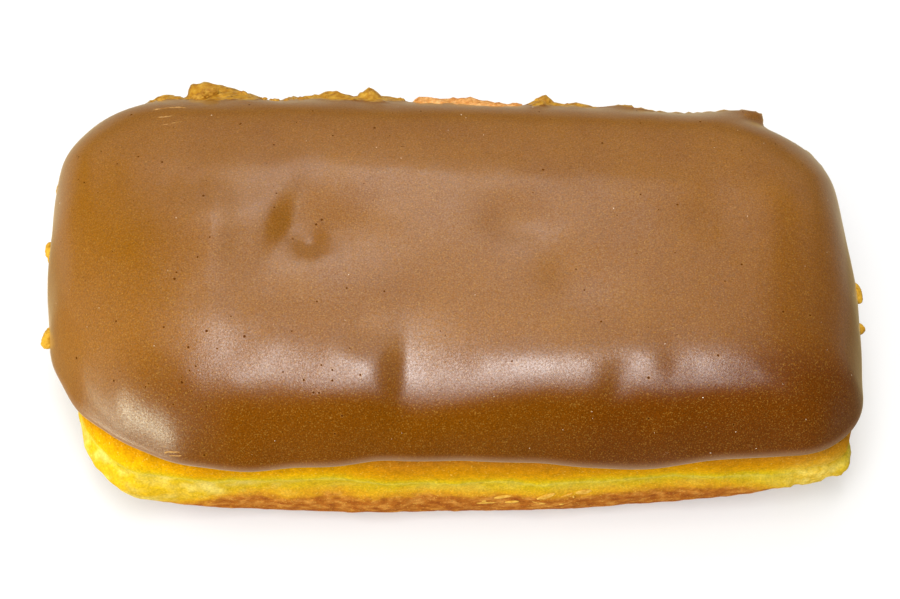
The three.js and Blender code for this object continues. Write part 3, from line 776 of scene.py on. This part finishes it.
def icing_finish():
    material, tree, shader = new_finish("maple_icing", {"IOR": 1.55, **SUGARY_EDGE})
    noise = noises_of(tree, ICING_NOISES)
    colour = colours_along(tree, noise["brown"], ICING_BROWNS)
    # painted light at the left end, painted shade at the front and the right
    colour = blend(tree, value_of(tree, "thin"), colour, PAINTED_LIGHT_BROWN)
    colour = blend(tree, value_of(tree, "thick"), colour, PAINTED_SHADE_BROWN)
    # pale sugar flecks, partly painted glints
    sugar_glint = times(tree, share_between(tree, noise["sugar_glint"], *SUGAR_GLINT_SPAN), SUGAR_GLINT_SHARE)
    colour = blend(tree, sugar_glint, colour, SUGAR_AND_GLINT_FLECK)
    syrup = times(tree, share_between(tree, noise["syrup"], *SYRUP_SPAN), SYRUP_SHARE)
    colour = blend(tree, syrup, colour, SYRUP_FLECK)
    colour = shaded(tree, colour, noise["speckle"], *ICING_SPECKLE)
    # painted reflection along the bead of the rim
    colour = blend(tree, value_of(tree, "edge"), colour, PAINTED_RIM_REFLECTION)
    torn = wobbled(tree, value_of(tree, "torn"), noise["torn edge"], TORN_WOBBLE)
    torn = share_between(tree, torn, *TORN_SPAN)
    colour = blend(tree, torn, colour, colours_along(tree, noise["gold"], CRUMB_GOLDS))
    tree.links.new(colour, shader.inputs["Base Color"])
    shine = ranged(tree, noise["shine"], *SHINE)
    for dull in (times(tree, torn, TORN_DULL), value_of(tree, "soft")):
        shine = times(tree, shine, reckon(tree, "SUBTRACT", 1.0, dull))
    tree.links.new(shine, shader.inputs["Specular IOR Level"])
    tree.links.new(ranged(tree, noise["gloss"], *ICING_ROUGHNESS, WHOLE_SPAN), shader.inputs["Roughness"])
    add_grain(tree, shader, ICING_GRAIN)
    return material


maple_icing = icing_finish()
# the bubble pits' finish, darker by a painted shade
shaded_pit = mottled_finish(
    "shaded_pit", {"Roughness": 0.9, "Specular IOR Level": 0.05}, PIT_SHADE_BROWNS, size_mm=0.3, detail=2.0)
scuffed_icing = mottled_finish(
    "scuffed_icing", {"Roughness": 0.5, "IOR": 1.5}, SCUFFED_BROWNS, size_mm=0.5, detail=3.0,
    grain=(0.3, 2.0, 0.03))
print("finishes:", maple_icing.name, shaded_pit.name, scuffed_icing.name)

# %% [markdown]
# ## The icing skin
# The icing is a skin of about a millimetre and a half that follows the dough under it, dents and all.
# Its rows of points run from the top down to the rim, round the bead and back up under the skin, so it
# is one closed shell. The underside sinks a little into the dough, because icing sticks to the crust
# and no dark gap may show along the rim. The relief tree gives it the slow swells of icing that set
# before it was level, and then runs once more, finer, on the torn lip alone to make that crumbly.

# %% Icing surface
ICING_COLUMNS, ICING_ACROSS = 200, 100
SKIN_RINGS, BEAD_RINGS, UNDER_RINGS = 44, 14, 6
SKIN_ROW_EASE, BEAD_ONSET, LIP_ONSET = 0.8, 6, 4
SUNK = 0.35   # depth of the icing's underside below the crust
TORN_THICK, TORN_EDGE = (0.05, 0.8), (0.05, 0.25)   # thickness of the torn lip that looks crumbly
CRUMBLY_TO = (24.0, 30.0)   # right of here only the edge of the lip does
RIM_LINE = {"row": 0.5, "half": 1.7, "share": 0.8}   # the painted reflection along the rim, in rows past the last of the skin
LEFT_LIGHT_FROM = (36.0, 68.0)   # towards the left end painted light makes the icing lighter and more orange
FRONT_SHADE, RIGHT_SHADE = (18.0, 33.0), (40.0, 95.0)   # where painted shade darkens it at the front and the right
FRONT_SHARE, RIGHT_SHARE = 0.75, 0.7   # how dark it is there
SOFT_FRONT, SOFT_FROM = (27.0, 33.0), (-45.0, -36.0)   # right of the left corner its front edge set dull
SOFT_SHARE, SOFT_RIGHT = 0.85, 0.4   # how dull, and how much of that at the right
PIT_CLUSTERS = ((-49.0, -28.0, 7.0, 9.0), (-39.0, -24.0, 6.0, 5.0), (-21.0, -26.0, 6.0, 8.0),
                (-35.0, 14.0, 16.0, 2.0))   # x, y, half width, how many more
SPECKS_ALL_OVER, SPECKS_FRONT = 0.4, (20.0, 34.0)   # more sugar specks lie towards the front
SMOOTH_ROWS = 2   # rows over the rim without pits and specks
SWELLS, CRUMBLY_RELIEF = ((17.0, 0.35), (5.0, 0.07)), ((1.8, 1.6), (0.6, 0.7))   # size and depth


def icing_surface():
    rings = SKIN_RINGS + BEAD_RINGS + UNDER_RINGS
    share, middle, ring, faces = block_layout(ICING_COLUMNS, ICING_ACROSS, rings)
    rim_tilt = tilt_at_rise(rim_rise(share), share)
    lip = lip_reach(share)
    full_skin = CLEARANCE + ICING_SKIN
    down = np.clip(ring / SKIN_RINGS, 0, 1)
    bead_turn = np.clip((ring - SKIN_RINGS) / BEAD_RINGS, 0, 1) * math.pi
    under = np.clip((ring - SKIN_RINGS - BEAD_RINGS) / UNDER_RINGS, 0, 1)
    rim_skin = full_skin + RIM_BEAD + lip
    bead_radius = (rim_skin + SUNK) / 2
    outer_skin = full_skin + RIM_BEAD * down**BEAD_ONSET + lip * down**LIP_ONSET
    skin = np.where(ring > SKIN_RINGS, bead_radius * (1 + np.cos(bead_turn)) - SUNK, outer_skin)
    skin_tilt = 90 + (rim_tilt - 90) * down**SKIN_ROW_EASE
    under_tilt = rim_tilt + (90 - rim_tilt) * under
    tilt = np.where(ring > SKIN_RINGS + BEAD_RINGS, under_tilt, skin_tilt)
    points = bar_point(angle_at(share), tilt, middle, skin)
    points[:, 2] -= np.where(ring > SKIN_RINGS, bead_radius * np.sin(bead_turn), 0)
    crumbly = 1 - smoothstep(points[:, 0], *CRUMBLY_TO)
    on_edge = np.where((ring >= SKIN_RINGS) & (under <= 0), 1.0, 0.0)
    curled = smoothstep(lip * down**LIP_ONSET, *TORN_THICK)
    torn = np.maximum(crumbly * curled, on_edge * smoothstep(lip, *TORN_EDGE))
    return points, faces, ring, torn


icing_points, icing_faces, icing_ring, icing_torn = icing_surface()
icing = add_mesh("icing_skin", icing_points + SHIFT, icing_faces)
x, y = icing_points[:, 0], icing_points[:, 1]
on_skin = np.where(icing_ring < SKIN_RINGS - SMOOTH_ROWS, 1.0, 0.0)
pits = np.ones(len(icing_points))
for at_x, at_y, half, extra in PIT_CLUSTERS:
    pits += extra * bump(x - at_x, half) * bump(y - at_y, half)
# where the front and the right end lie: painted shade and duller gloss there
at_front = smoothstep(-y, *FRONT_SHADE)
at_right = smoothstep(x - y, *RIGHT_SHADE)
soft_front = smoothstep(-y, *SOFT_FRONT) * smoothstep(x, *SOFT_FROM)
set_values(
    icing,
    rough=np.ones(len(icing_points)),
    torn=icing_torn,
    # painted reflection along the bead of the rim
    edge=RIM_LINE["share"] * bump(icing_ring - SKIN_RINGS - RIM_LINE["row"], RIM_LINE["half"]),
    # painted light at the left end, painted shade at the front and the right
    thin=smoothstep(-x, *LEFT_LIGHT_FROM),
    thick=FRONT_SHARE * at_front + RIGHT_SHARE * at_right,
    soft=SOFT_SHARE * np.maximum(soft_front, SOFT_RIGHT * at_right),
    pits=pits * on_skin,
    specks=on_skin * (SPECKS_ALL_OVER + smoothstep(-y, *SPECKS_FRONT)),
)
icing.data.materials.append(maple_icing)
add_relief(icing, "rough", *SWELLS)
add_relief(icing, "torn", *CRUMBLY_RELIEF)

# %% [markdown]
# ## Bubble pits
# Air trapped in the warm icing left pits a few tenths of a millimetre wide. A dark dot painted on would
# stay flat when the light moves, so each pit is a real hole: the tree scatters small balls over the
# skin, more of them where the icing bubbled most, and cuts them out. The cut faces keep the finish of
# the balls, which is darker, a painted shade in the pits. The skin round them is given the normals of
# the uncut skin, because the thin triangles that a cut leaves would otherwise show as scratches in the
# gloss.

# %% Bubble pits
BIT_FINENESS = 2   # subdivisions of a ball that is repeated hundreds of times


def scattered_points(tree, surface, where, density, seed):
    amount = times(tree, carried(tree, where), density)
    inputs = {"Mesh": surface, "Density": amount, "Seed": seed}
    return add_node(tree, "GeometryNodeDistributePointsOnFaces", inputs).outputs


def mostly_small(tree, low, high, power, seed):
    """A random size between two, of which few are large when the power is above one."""
    inputs = {2: 0.0, 3: 1.0, "Seed": seed}
    draw = add_node(tree, "FunctionNodeRandomValue", inputs, data_type="FLOAT").outputs[1]
    span = reckon(tree, "SUBTRACT", high, low)
    return reckon(tree, "ADD", low, times(tree, span, reckon(tree, "POWER", draw, power)))


def balls_on(tree, points, radius, fineness, turn, size):
    """A ball on each point as real faces. A radius of 0.5 makes the size a width, and 1 a half width."""
    ball = output_of(tree, "GeometryNodeMeshIcoSphere", {"Radius": radius, "Subdivisions": fineness})
    inputs = {"Points": points, "Instance": ball, "Rotation": turn, "Scale": size}
    placed = output_of(tree, "GeometryNodeInstanceOnPoints", inputs)
    return output_of(tree, "GeometryNodeRealizeInstances", {"Geometry": placed})


def pit_tree():
    tree, given, result = new_tree("bubble_pits", {
        "Pits per square metre": "Float", "Smallest": "Float", "Largest": "Float", "Few large": "Float",
        "Seed": "Int", "Pit finish": "Material"})
    skin, finish = given["Geometry"], given["Pit finish"]
    points = scattered_points(tree, skin, "pits", given["Pits per square metre"], given["Seed"])
    size = mostly_small(tree, given["Smallest"], given["Largest"], given["Few large"], given["Seed"])
    balls = balls_on(tree, points["Points"], 0.5, BIT_FINENESS, points["Rotation"], size)
    # the balls take the pit finish with its painted shade
    dark = output_of(tree, "GeometryNodeSetMaterial", {"Geometry": balls, "Material": finish})
    cut = output_of(tree, "GeometryNodeMeshBoolean", {"Mesh 1": skin, "Mesh 2": dark},
                    operation="DIFFERENCE", solver="MANIFOLD")
    in_pit = output_of(tree, "GeometryNodeMaterialSelection", {"Material": finish})
    normal = output_of(tree, "GeometryNodeInputNormal")
    whole = output_of(tree, "GeometryNodeSampleNearestSurface", {"Mesh": skin, "Value": normal},
                      data_type="FLOAT_VECTOR")
    kept = output_of(tree, "GeometryNodeSwitch", {"Switch": in_pit, "False": whole, "True": normal},
                     input_type="VECTOR")
    smooth = output_of(tree, "GeometryNodeSetMeshNormal", {"Mesh": cut, "Custom Normal": kept},
                       mode="FREE", domain="CORNER")
    tree.links.new(smooth, result["Geometry"])
    return tree


apply_tree(icing, pit_tree(), {
    "Pits per square metre": 15000.0, "Smallest": 0.12 * MM, "Largest": 0.5 * MM, "Few large": 2.2, "Seed": 7,
    "Pit finish": shaded_pit})

# %% [markdown]
# ## Torn crumbs
# Bars that touched were pulled apart, and the icing's back edge tore. Golden crumbs stuck to it, and
# yellow bits of crust to the two ends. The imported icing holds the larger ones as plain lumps. Here each
# lump is a ball at the same place and of the same size that noise makes ragged, and smaller crumbs are
# drawn at random between them. A tree does this well: points carry the sizes, a ball is put on each,
# and the noise is cut to its size.

# %% Torn crumbs
CRUMB_SEAT = 0.5   # share of the lip's reach at which crumbs sit on it
CRUMB_TILT = 0.35   # radians that a crumb is turned at most
RAGGED_DETAIL, RAGGED_ROUGHNESS = 3.0, 0.6
CRUMB_SEED, LUMP_FINENESS = 11, 5
# Larger crumbs along the back: x, height over the widest line, half sizes along, up and outward
BACK_CRUMBS = (
    (-52.6, 14.8, 1.2, 0.7, 0.7),
    (-46.4, 15.2, 1.5, 0.9, 0.8),
    (-43.2, 15.6, 1.6, 1.0, 0.9),
    (-37.6, 15.0, 1.1, 0.8, 0.7),
    (-32.8, 14.8, 1.2, 0.9, 0.8),
    (-27.4, 14.6, 1.6, 0.7, 0.7),
    (-15.0, 15.4, 1.2, 0.9, 0.8),
    (-10.4, 14.8, 1.4, 0.9, 0.8),
    (15.6, 15.4, 1.4, 1.0, 1.0),
    (20.8, 14.8, 1.3, 0.7, 0.7),
    (24.2, 14.6, 1.0, 0.6, 0.6),
)
# Bits at the ends: the end, y, and the same
END_BITS = (
    ("left", 22.5, 4.6, 1.8, 1.1, 1.0),
    ("left", 8.0, 4.2, 2.6, 1.3, 1.2),
    ("left", -9.6, 4.4, 3.0, 1.3, 1.2),
    ("right", -1.0, 7.0, 2.4, 1.4, 1.2),
    ("right", -8.3, 6.4, 1.2, 0.9, 1.3),
)
# Small crumbs: side, stretch along it, middle and spread of their height, smallest and largest, number
SMALL_CRUMBS = (
    ("back", -56.0, -9.0, 14.8, 0.6, 0.15, 0.60, 90),
    ("back", 12.0, 26.0, 14.8, 0.4, 0.15, 0.45, 24),
    ("back", 26.0, 53.0, 14.6, 0.3, 0.10, 0.25, 24),
    ("left", -14.0, 26.0, 4.2, 0.5, 0.15, 0.40, 14),
    ("right", -16.0, 10.0, 6.6, 0.6, 0.15, 0.45, 14),
)
BIT_YELLOWS = ((0.3, (0.44, 0.205, 0.006)), (0.7, (0.66, 0.375, 0.025)))   # bits of crust at the ends


def share_along(side, at):
    """Share of the way round the outline where a side passes a place along it."""
    outward, along = {"back": (ring_y, ring_x), "left": (-ring_x, ring_y), "right": (ring_x, ring_y)}[side]
    miss = np.where(outward > 0, np.abs(along - at), np.inf)
    return walked[np.argmin(miss)] / walked[-1]


def small_crumb_rows(random):
    rows = []
    for side, start, end, rise, spread, smallest, largest, number in SMALL_CRUMBS:
        for _ in range(number):
            half, tall, out = smallest + (largest - smallest) * random.random(3) ** 2
            rows.append((side, random.uniform(start, end), random.normal(rise, spread), half, tall, out))
    return rows


def crumb_seeds(name, rows, random):
    """Points that carry the half sizes and the turn of the crumb that goes on each."""
    places, sizes = [], []
    for side, at, rise, half, tall, out in rows:
        share = share_along(side, at)
        skin = CLEARANCE + ICING_SKIN + CRUMB_SEAT * lip_reach(share)
        places.append(bar_point(angle_at(share), tilt_at_rise(rise, share), 1, skin) + SHIFT)
        sizes.append((half, out, tall) if side == "back" else (out, half, tall))
    seeds = add_mesh(name, places, [])
    turns_of = random.uniform(-CRUMB_TILT, CRUMB_TILT, (len(rows), 3))
    for label, vectors in (("size", np.array(sizes) * MM), ("turn", turns_of)):
        layer = seeds.data.attributes.new(label, "FLOAT_VECTOR", "POINT")
        layer.data.foreach_set("vector", vectors.ravel())
    return seeds


def crumb_tree():
    tree, given, result = new_tree("ragged_crumbs", {
        "Fineness": "Int", "Ragged size": "Float", "Ragged share": "Float", "Crumb finish": "Material"})
    size, turn = (carried(tree, name, "FLOAT_VECTOR") for name in ("size", "turn"))
    balls = balls_on(tree, given["Geometry"], 1.0, given["Fineness"], turn, size)
    centred = centred_noise(tree, given["Ragged size"], RAGGED_DETAIL, RAGGED_ROUGHNESS)
    across = add_node(tree, "ShaderNodeVectorMath", {0: size}, operation="LENGTH").outputs["Value"]
    depth = times(tree, times(tree, centred, across), given["Ragged share"])
    ragged = pushed_out(tree, balls, depth)
    smooth = output_of(tree, "GeometryNodeSetShadeSmooth", {"Geometry": ragged})
    end_tree(tree, result, smooth, given["Crumb finish"])
    return tree


def crumb_finish(name, colours):
    constants = {"Roughness": 0.65, "Specular IOR Level": 0.25}
    return mottled_finish(name, constants, colours, size_mm=1.1, detail=4.0, grain=(0.35, 3.0, 0.06))


def add_crumbs(name, rows, finish, fineness, ragged):
    """Crumbs made ragged by noise of a size in millimetres, as deep as a share of each crumb."""
    crumbs = crumb_seeds(name, rows, draws)
    apply_tree(crumbs, ragged_crumbs, {
        "Fineness": fineness, "Ragged size": ragged[0] * MM, "Ragged share": ragged[1],
        "Crumb finish": finish})
    return crumbs


torn_crumb, crust_bit = crumb_finish("torn_crumb", CRUMB_GOLDS), crumb_finish("crust_bit", BIT_YELLOWS)
ragged_crumbs = crumb_tree()
draws = np.random.default_rng(CRUMB_SEED)
back_rows = [("back", *row) for row in BACK_CRUMBS]
large_crumbs = add_crumbs("large_crumbs", back_rows, torn_crumb, LUMP_FINENESS, ragged=(1.0, 0.65))
end_bits = add_crumbs("end_bits", END_BITS, crust_bit, LUMP_FINENESS, ragged=(1.6, 0.35))
small_rows = small_crumb_rows(draws)
small_crumbs = add_crumbs("small_crumbs", small_rows, torn_crumb, BIT_FINENESS, ragged=(0.5, 0.7))

# %% [markdown]
# ## Flakes and sugar specks
# Pale flakes of crust stand on the browned base, and a few sugar specks stuck to the icing. Both are
# many small things on a surface, so one tree serves them: it scatters points where an attribute says,
# lays a flat ragged bit on each, turned at random about the surface's normal, and realizes them.

# %% Flakes and specks
BIT_SPIN = 0.4   # radians either way
FLAKE_YELLOWS = ((0.3, (0.58, 0.28, 0.02)), (0.7, (0.78, 0.48, 0.08)))
SUGAR_CREAMS = ((0.3, (0.55, 0.42, 0.28)), (0.7, (0.88, 0.80, 0.66)))


def random_between(tree, low, high, seed):
    inputs = {0: low, 1: high, "Seed": seed}
    return output_of(tree, "FunctionNodeRandomValue", inputs, data_type="FLOAT_VECTOR")


def bits_tree():
    tree, given, result = new_tree("scattered_bits", {
        "Where": "String", "Bits per square metre": "Float", "Smallest": "Vector", "Largest": "Vector",
        "Ragged size": "Float", "Ragged depth": "Float", "Seed": "Int", "Bit finish": "Material"})
    surface, seed = given["Geometry"], given["Seed"]
    points = scattered_points(tree, surface, given["Where"], given["Bits per square metre"], seed)
    size = random_between(tree, given["Smallest"], given["Largest"], seed)
    spin = random_between(tree, (0, 0, -BIT_SPIN), (0, 0, BIT_SPIN), seed)
    inputs = {"Rotation": points["Rotation"], "Rotate By": spin}
    turn = output_of(tree, "FunctionNodeRotateRotation", inputs, rotation_space="LOCAL")
    bits = balls_on(tree, points["Points"], 0.5, BIT_FINENESS, turn, size)
    depth = times(tree, centred_noise(tree, given["Ragged size"]), given["Ragged depth"])
    end_tree(tree, result, pushed_out(tree, bits, depth), given["Bit finish"])
    return tree


def scatter_on(surface, name, values):
    bits = add_object(name, surface.data.copy())
    apply_tree(bits, scattered_bits, values)
    return bits


def in_metres(*lengths_mm):
    return tuple(length * MM for length in lengths_mm)


pale_flake = mottled_finish(
    "pale_flake", {"Roughness": 0.75, "Specular IOR Level": 0.2}, FLAKE_YELLOWS, size_mm=0.6, detail=2.0)
sugar_speck = mottled_finish("sugar_speck", {"Roughness": 0.35}, SUGAR_CREAMS, size_mm=0.4, detail=1.0)
scattered_bits = bits_tree()
flakes = scatter_on(dough, "crust_flakes", {
    "Where": "flaky", "Bits per square metre": 260000.0, "Smallest": in_metres(0.3, 0.15, 0.08),
    "Largest": in_metres(3.8, 1.1, 0.5), "Ragged size": 0.5 * MM, "Ragged depth": 0.3 * MM, "Seed": 3,
    "Bit finish": pale_flake})
specks = scatter_on(icing, "sugar_specks", {
    "Where": "specks", "Bits per square metre": 9000.0, "Smallest": in_metres(0.06, 0.06, 0.05),
    "Largest": in_metres(0.28, 0.22, 0.16), "Ragged size": 0.2 * MM, "Ragged depth": 0.06 * MM, "Seed": 5,
    "Bit finish": sugar_speck})

# %% [markdown]
# ## Creases in the icing
# Setting icing creased and tore in a few places: a smear by the back left corner, a flap over the front
# rim, and hairline cracks. Each is a thin strand half sunk in the skin. Its few points were read off the
# photograph and are put on the surface by the nearest point of the icing, and a tree sweeps a circle
# along the line, which noise makes wander.

# %% Creases
CREASES = (   # thickness at the middle, and places from end to end
    (0.50, (-51.3, -36.6, 22.6), (-48.6, -37.1, 24.4), (-45.9, -37.4, 25.0), (-41.6, -37.0, 27.0)),
    (0.35, (-49.5, -37.2, 23.3), (-46.8, -37.6, 24.0), (-44.5, -37.6, 24.6)),
    (0.55, (-58.0, 30.0, 35.0), (-54.5, 30.5, 35.6), (-50.5, 31.0, 35.8), (-46.0, 30.0, 36.4)),
    (0.40, (-56.2, 27.7, 36.5), (-53.0, 27.6, 36.9), (-50.0, 28.2, 37.0)),
    (0.30, (-53.5, 25.0, 37.7), (-51.0, 25.6, 37.7), (-48.4, 26.2, 37.9)),
    (0.10, (33.1, -21.0, 38.8), (37.5, -19.5, 38.9), (41.7, -18.5, 38.8)),
    (0.10, (35.0, -27.9, 36.4), (35.7, -29.5, 35.5), (35.4, -31.0, 34.2)),
    (0.10, (32.3, -4.3, 39.5), (34.0, -0.5, 39.5), (36.9, 3.3, 39.5)),
)
STRAND_SINK = 0.35   # share of its thickness that a strand lies under the skin
STRAND_SIDES = 8


def crease_seeds(name):
    """Lines on the icing whose points carry the strand's thickness, which tapers towards both ends."""
    skin = BVHTree.FromObject(icing, bpy.context.evaluated_depsgraph_get())
    points, edges, thickness = [], [], []
    for thick, *places in CREASES:
        for number, place in enumerate(places):
            found, normal, _, _ = skin.find_nearest(Vector(np.array(place) + SHIFT) * MM)
            points.append(found - normal * thick * STRAND_SINK * MM)
            thickness.append(thick * MM / 2 * math.sin(math.pi * (number + 0.5) / len(places)))
            if number > 0:
                edges.append((len(points) - 2, len(points) - 1))
    mesh = bpy.data.meshes.new(name)
    mesh.from_pydata(points, edges, [])
    seeds = add_object(name, mesh)
    set_values(seeds, thick=thickness)
    return seeds


def strand_tree():
    tree, given, result = new_tree("crease_strands", {
        "Step": "Float", "Wander": "Float", "Wander size": "Float", "Strand finish": "Material"})
    line = output_of(tree, "GeometryNodeMeshToCurve", {"Mesh": given["Geometry"]})
    bent = output_of(tree, "GeometryNodeCurveSplineType", {"Curve": line}, spline_type="CATMULL_ROM")
    inputs = {"Curve": bent, "Length": given["Step"]}
    fine = output_of(tree, "GeometryNodeResampleCurve", inputs, mode="LENGTH")
    inputs = {0: noise_in_space(tree, given["Wander size"])["Color"], 1: (0.5, 0.5, 0.5)}
    centred = output_of(tree, "ShaderNodeVectorMath", inputs, operation="SUBTRACT")
    push = scaled(tree, centred, given["Wander"])
    moved = output_of(tree, "GeometryNodeSetPosition", {"Geometry": fine, "Offset": push})
    circle = output_of(tree, "GeometryNodeCurvePrimitiveCircle", {"Resolution": STRAND_SIDES, "Radius": 1.0})
    strand = output_of(tree, "GeometryNodeCurveToMesh", {
        "Curve": moved, "Profile Curve": circle, "Scale": carried(tree, "thick"), "Fill Caps": True})
    smooth = output_of(tree, "GeometryNodeSetShadeSmooth", {"Geometry": strand})
    end_tree(tree, result, smooth, given["Strand finish"])
    return tree


creases = crease_seeds("icing_creases")
apply_tree(creases, strand_tree(), {
    "Step": 0.25 * MM, "Wander": 0.5 * MM, "Wander size": 1.5 * MM, "Strand finish": scuffed_icing})

# %% [markdown]
# ## Floor and light
# The bar lies on a plain white floor, which glows a little so that its shadow stays pale. What the
# glossy icing mirrors decides its look. Bright soft boxes over the front make the pale sheen, weaker
# ones over the middle and the back light the top, and a low lamp and a patch of bright floor at the
# front left light that corner. Grey cards lie on the floor all round, darkest in front and on the
# right. Only the gloss sees them, so the icing's sides stay deep brown while the crust still gets the
# floor's light. The fill from the left is the reverse: it lights the bar but isn't mirrored. Each box
# has a radiance, a direction and an angular size, as the bar sees it.

# %% Floor and light
FLOOR_REACH, FLOOR_GREY, FLOOR_GLOW = 2.0, 0.45, 0.45   # half its side, its shade, and the light it gives
CARD_LIFT, GLOW_LIFT = 0.5 * MM, 2 * MM   # heights over the floor
LAMP_DISTANCE = 0.9
WHITE, WARM = (1, 1, 1), (1, 1, 0.75)
WORLD_STRENGTH = 0.02
GLOSS_CARDS = (   # name, two opposite corners in metres, and shade
    ("front_card", (-1.5, -1.5), (1.5, -0.066), 0.01),
    ("left_floor_card", (-1.5, -0.060), (-0.080, 0.03), 0.10),
    ("right_floor_card", (0.060, -0.060), (1.5, 0.03), 0.03),
    ("back_card", (-1.5, 0.03), (1.5, 1.5), 0.27),
)
SOFT_BOXES = (   # name, degrees to the right and up from the back, angular size, radiance, colour, mirroring
    ("front_window", -8, 110, (18, 42), 10.6),
    ("front_window_right", 5.2, 110, (8.4, 42), 9.2),
    ("middle_window", 0.75, 71, (29.5, 36), 1.3),
    ("middle_glow", 0.5, 82, (29, 14), 1.4),
    ("back_window", -6, 49.5, (14, 6), 9.0),
    ("back_window_right", 6, 49.5, (10, 6), 4.0),
    ("back_wall", 0, 30, (90, 30), 0.5),
    ("left_card", -58, 95, (40, 90), 0.4),
    ("right_card", 50, 60, (40, 70), 0.2),
    ("front_left_lamp", -50, 175, (26, 12), 19.0, WARM),
    ("left_fill", -80, 70, (50, 60), 1.3, WHITE, False),
)
FLOOR_GLOW_PATCH = {"middle": (-0.175, -0.085), "size": (0.12, 0.08), "radiance": 6.0}   # at the front left


def add_plate(name, low, high, lift, grey, constants):
    """A flat grey plate on the stage, from corner to corner."""
    mesh = bpy.data.meshes.new(name)
    corners = [(low[0], low[1]), (high[0], low[1]), (high[0], high[1]), (low[0], high[1])]
    mesh.from_pydata([(*corner, lift) for corner in corners], [], [(0, 1, 2, 3)])
    plate = add_object(name, mesh)
    material, _, _ = new_finish(name + "_finish", {"Base Color": (grey, grey, grey, 1), **constants})
    mesh.materials.append(material)
    return plate


def add_gloss_card(name, low, high, shade):
    """A grey card on the floor that only the gloss of the bar mirrors."""
    card = add_plate(name, low, high, CARD_LIFT, shade, {"Specular IOR Level": 0.0})
    card.visible_camera = False
    card.visible_shadow = False
    card.visible_diffuse = False


def add_lamp(name, size, radiance, colour, place, turn):
    light = bpy.data.lights.new(name, "AREA")
    light.shape = "RECTANGLE"
    light.size, light.size_y = size
    light.energy = radiance * math.pi * size[0] * size[1]
    light.color = colour
    lamp = add_object(name, light)
    lamp.location = place
    lamp.rotation_euler = turn
    return lamp


def add_softbox(name, sideways, upward, angular_size, radiance, colour=WHITE, mirrored=True):
    """A soft box in the direction and of the angular size that the bar sees."""
    side, up = math.radians(sideways), math.radians(upward)
    towards = Vector((math.sin(side), math.cos(side) * math.cos(up), math.cos(side) * math.sin(up)))
    size = [2 * LAMP_DISTANCE * math.tan(math.radians(angle) / 2) for angle in angular_size]
    turn = towards.to_track_quat("Z", "Y").to_euler()
    lamp = add_lamp(name, size, radiance, colour, towards * LAMP_DISTANCE, turn)
    lamp.visible_glossy = mirrored


add_plate("floor", (-FLOOR_REACH, -FLOOR_REACH), (FLOOR_REACH, FLOOR_REACH), 0.0, FLOOR_GREY, {
    "Roughness": 0.9, "Specular IOR Level": 0.1, "Emission Color": (*WHITE, 1),
    "Emission Strength": FLOOR_GLOW})
for card in GLOSS_CARDS:
    add_gloss_card(*card)
for box in SOFT_BOXES:
    add_softbox(*box)
glow_place, facing_up = (*FLOOR_GLOW_PATCH["middle"], GLOW_LIFT), (math.pi, 0, 0)
glow_size, glow_radiance = FLOOR_GLOW_PATCH["size"], FLOOR_GLOW_PATCH["radiance"]
glow = add_lamp("front_left_glow", glow_size, glow_radiance, WARM, glow_place, facing_up)
glow.visible_camera = False
world = bpy.data.worlds.new("studio")
bpy.context.scene.world = world
world.use_nodes = True
background = world.node_tree.nodes["Background"]
background.inputs["Color"].default_value = (*WHITE, 1)
background.inputs["Strength"].default_value = WORLD_STRENGTH
bpy.context.scene.view_settings.view_transform = "Standard"
print("lights:", len(SOFT_BOXES) + 1, "cards for the gloss:", len(GLOSS_CARDS))

# %% [markdown]
# ## Into the frame
# The bar has one body, so every piece rides on it. The fine dough stands for the imported dough, and the
# skin with its crumbs and creases for the imported icing.

# %% Into the frame
for piece, node, slot in ((dough, "dough", "crust"), (flakes, "dough", "crust"), (icing, "icing", "icing"),
                          (creases, "icing", "icing"), (specks, "icing", "icing"),
                          (large_crumbs, "icing", "crust"), (end_bits, "icing", "crust"),
                          (small_crumbs, "icing", "crust")):
    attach(piece, "root")
    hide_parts(node)
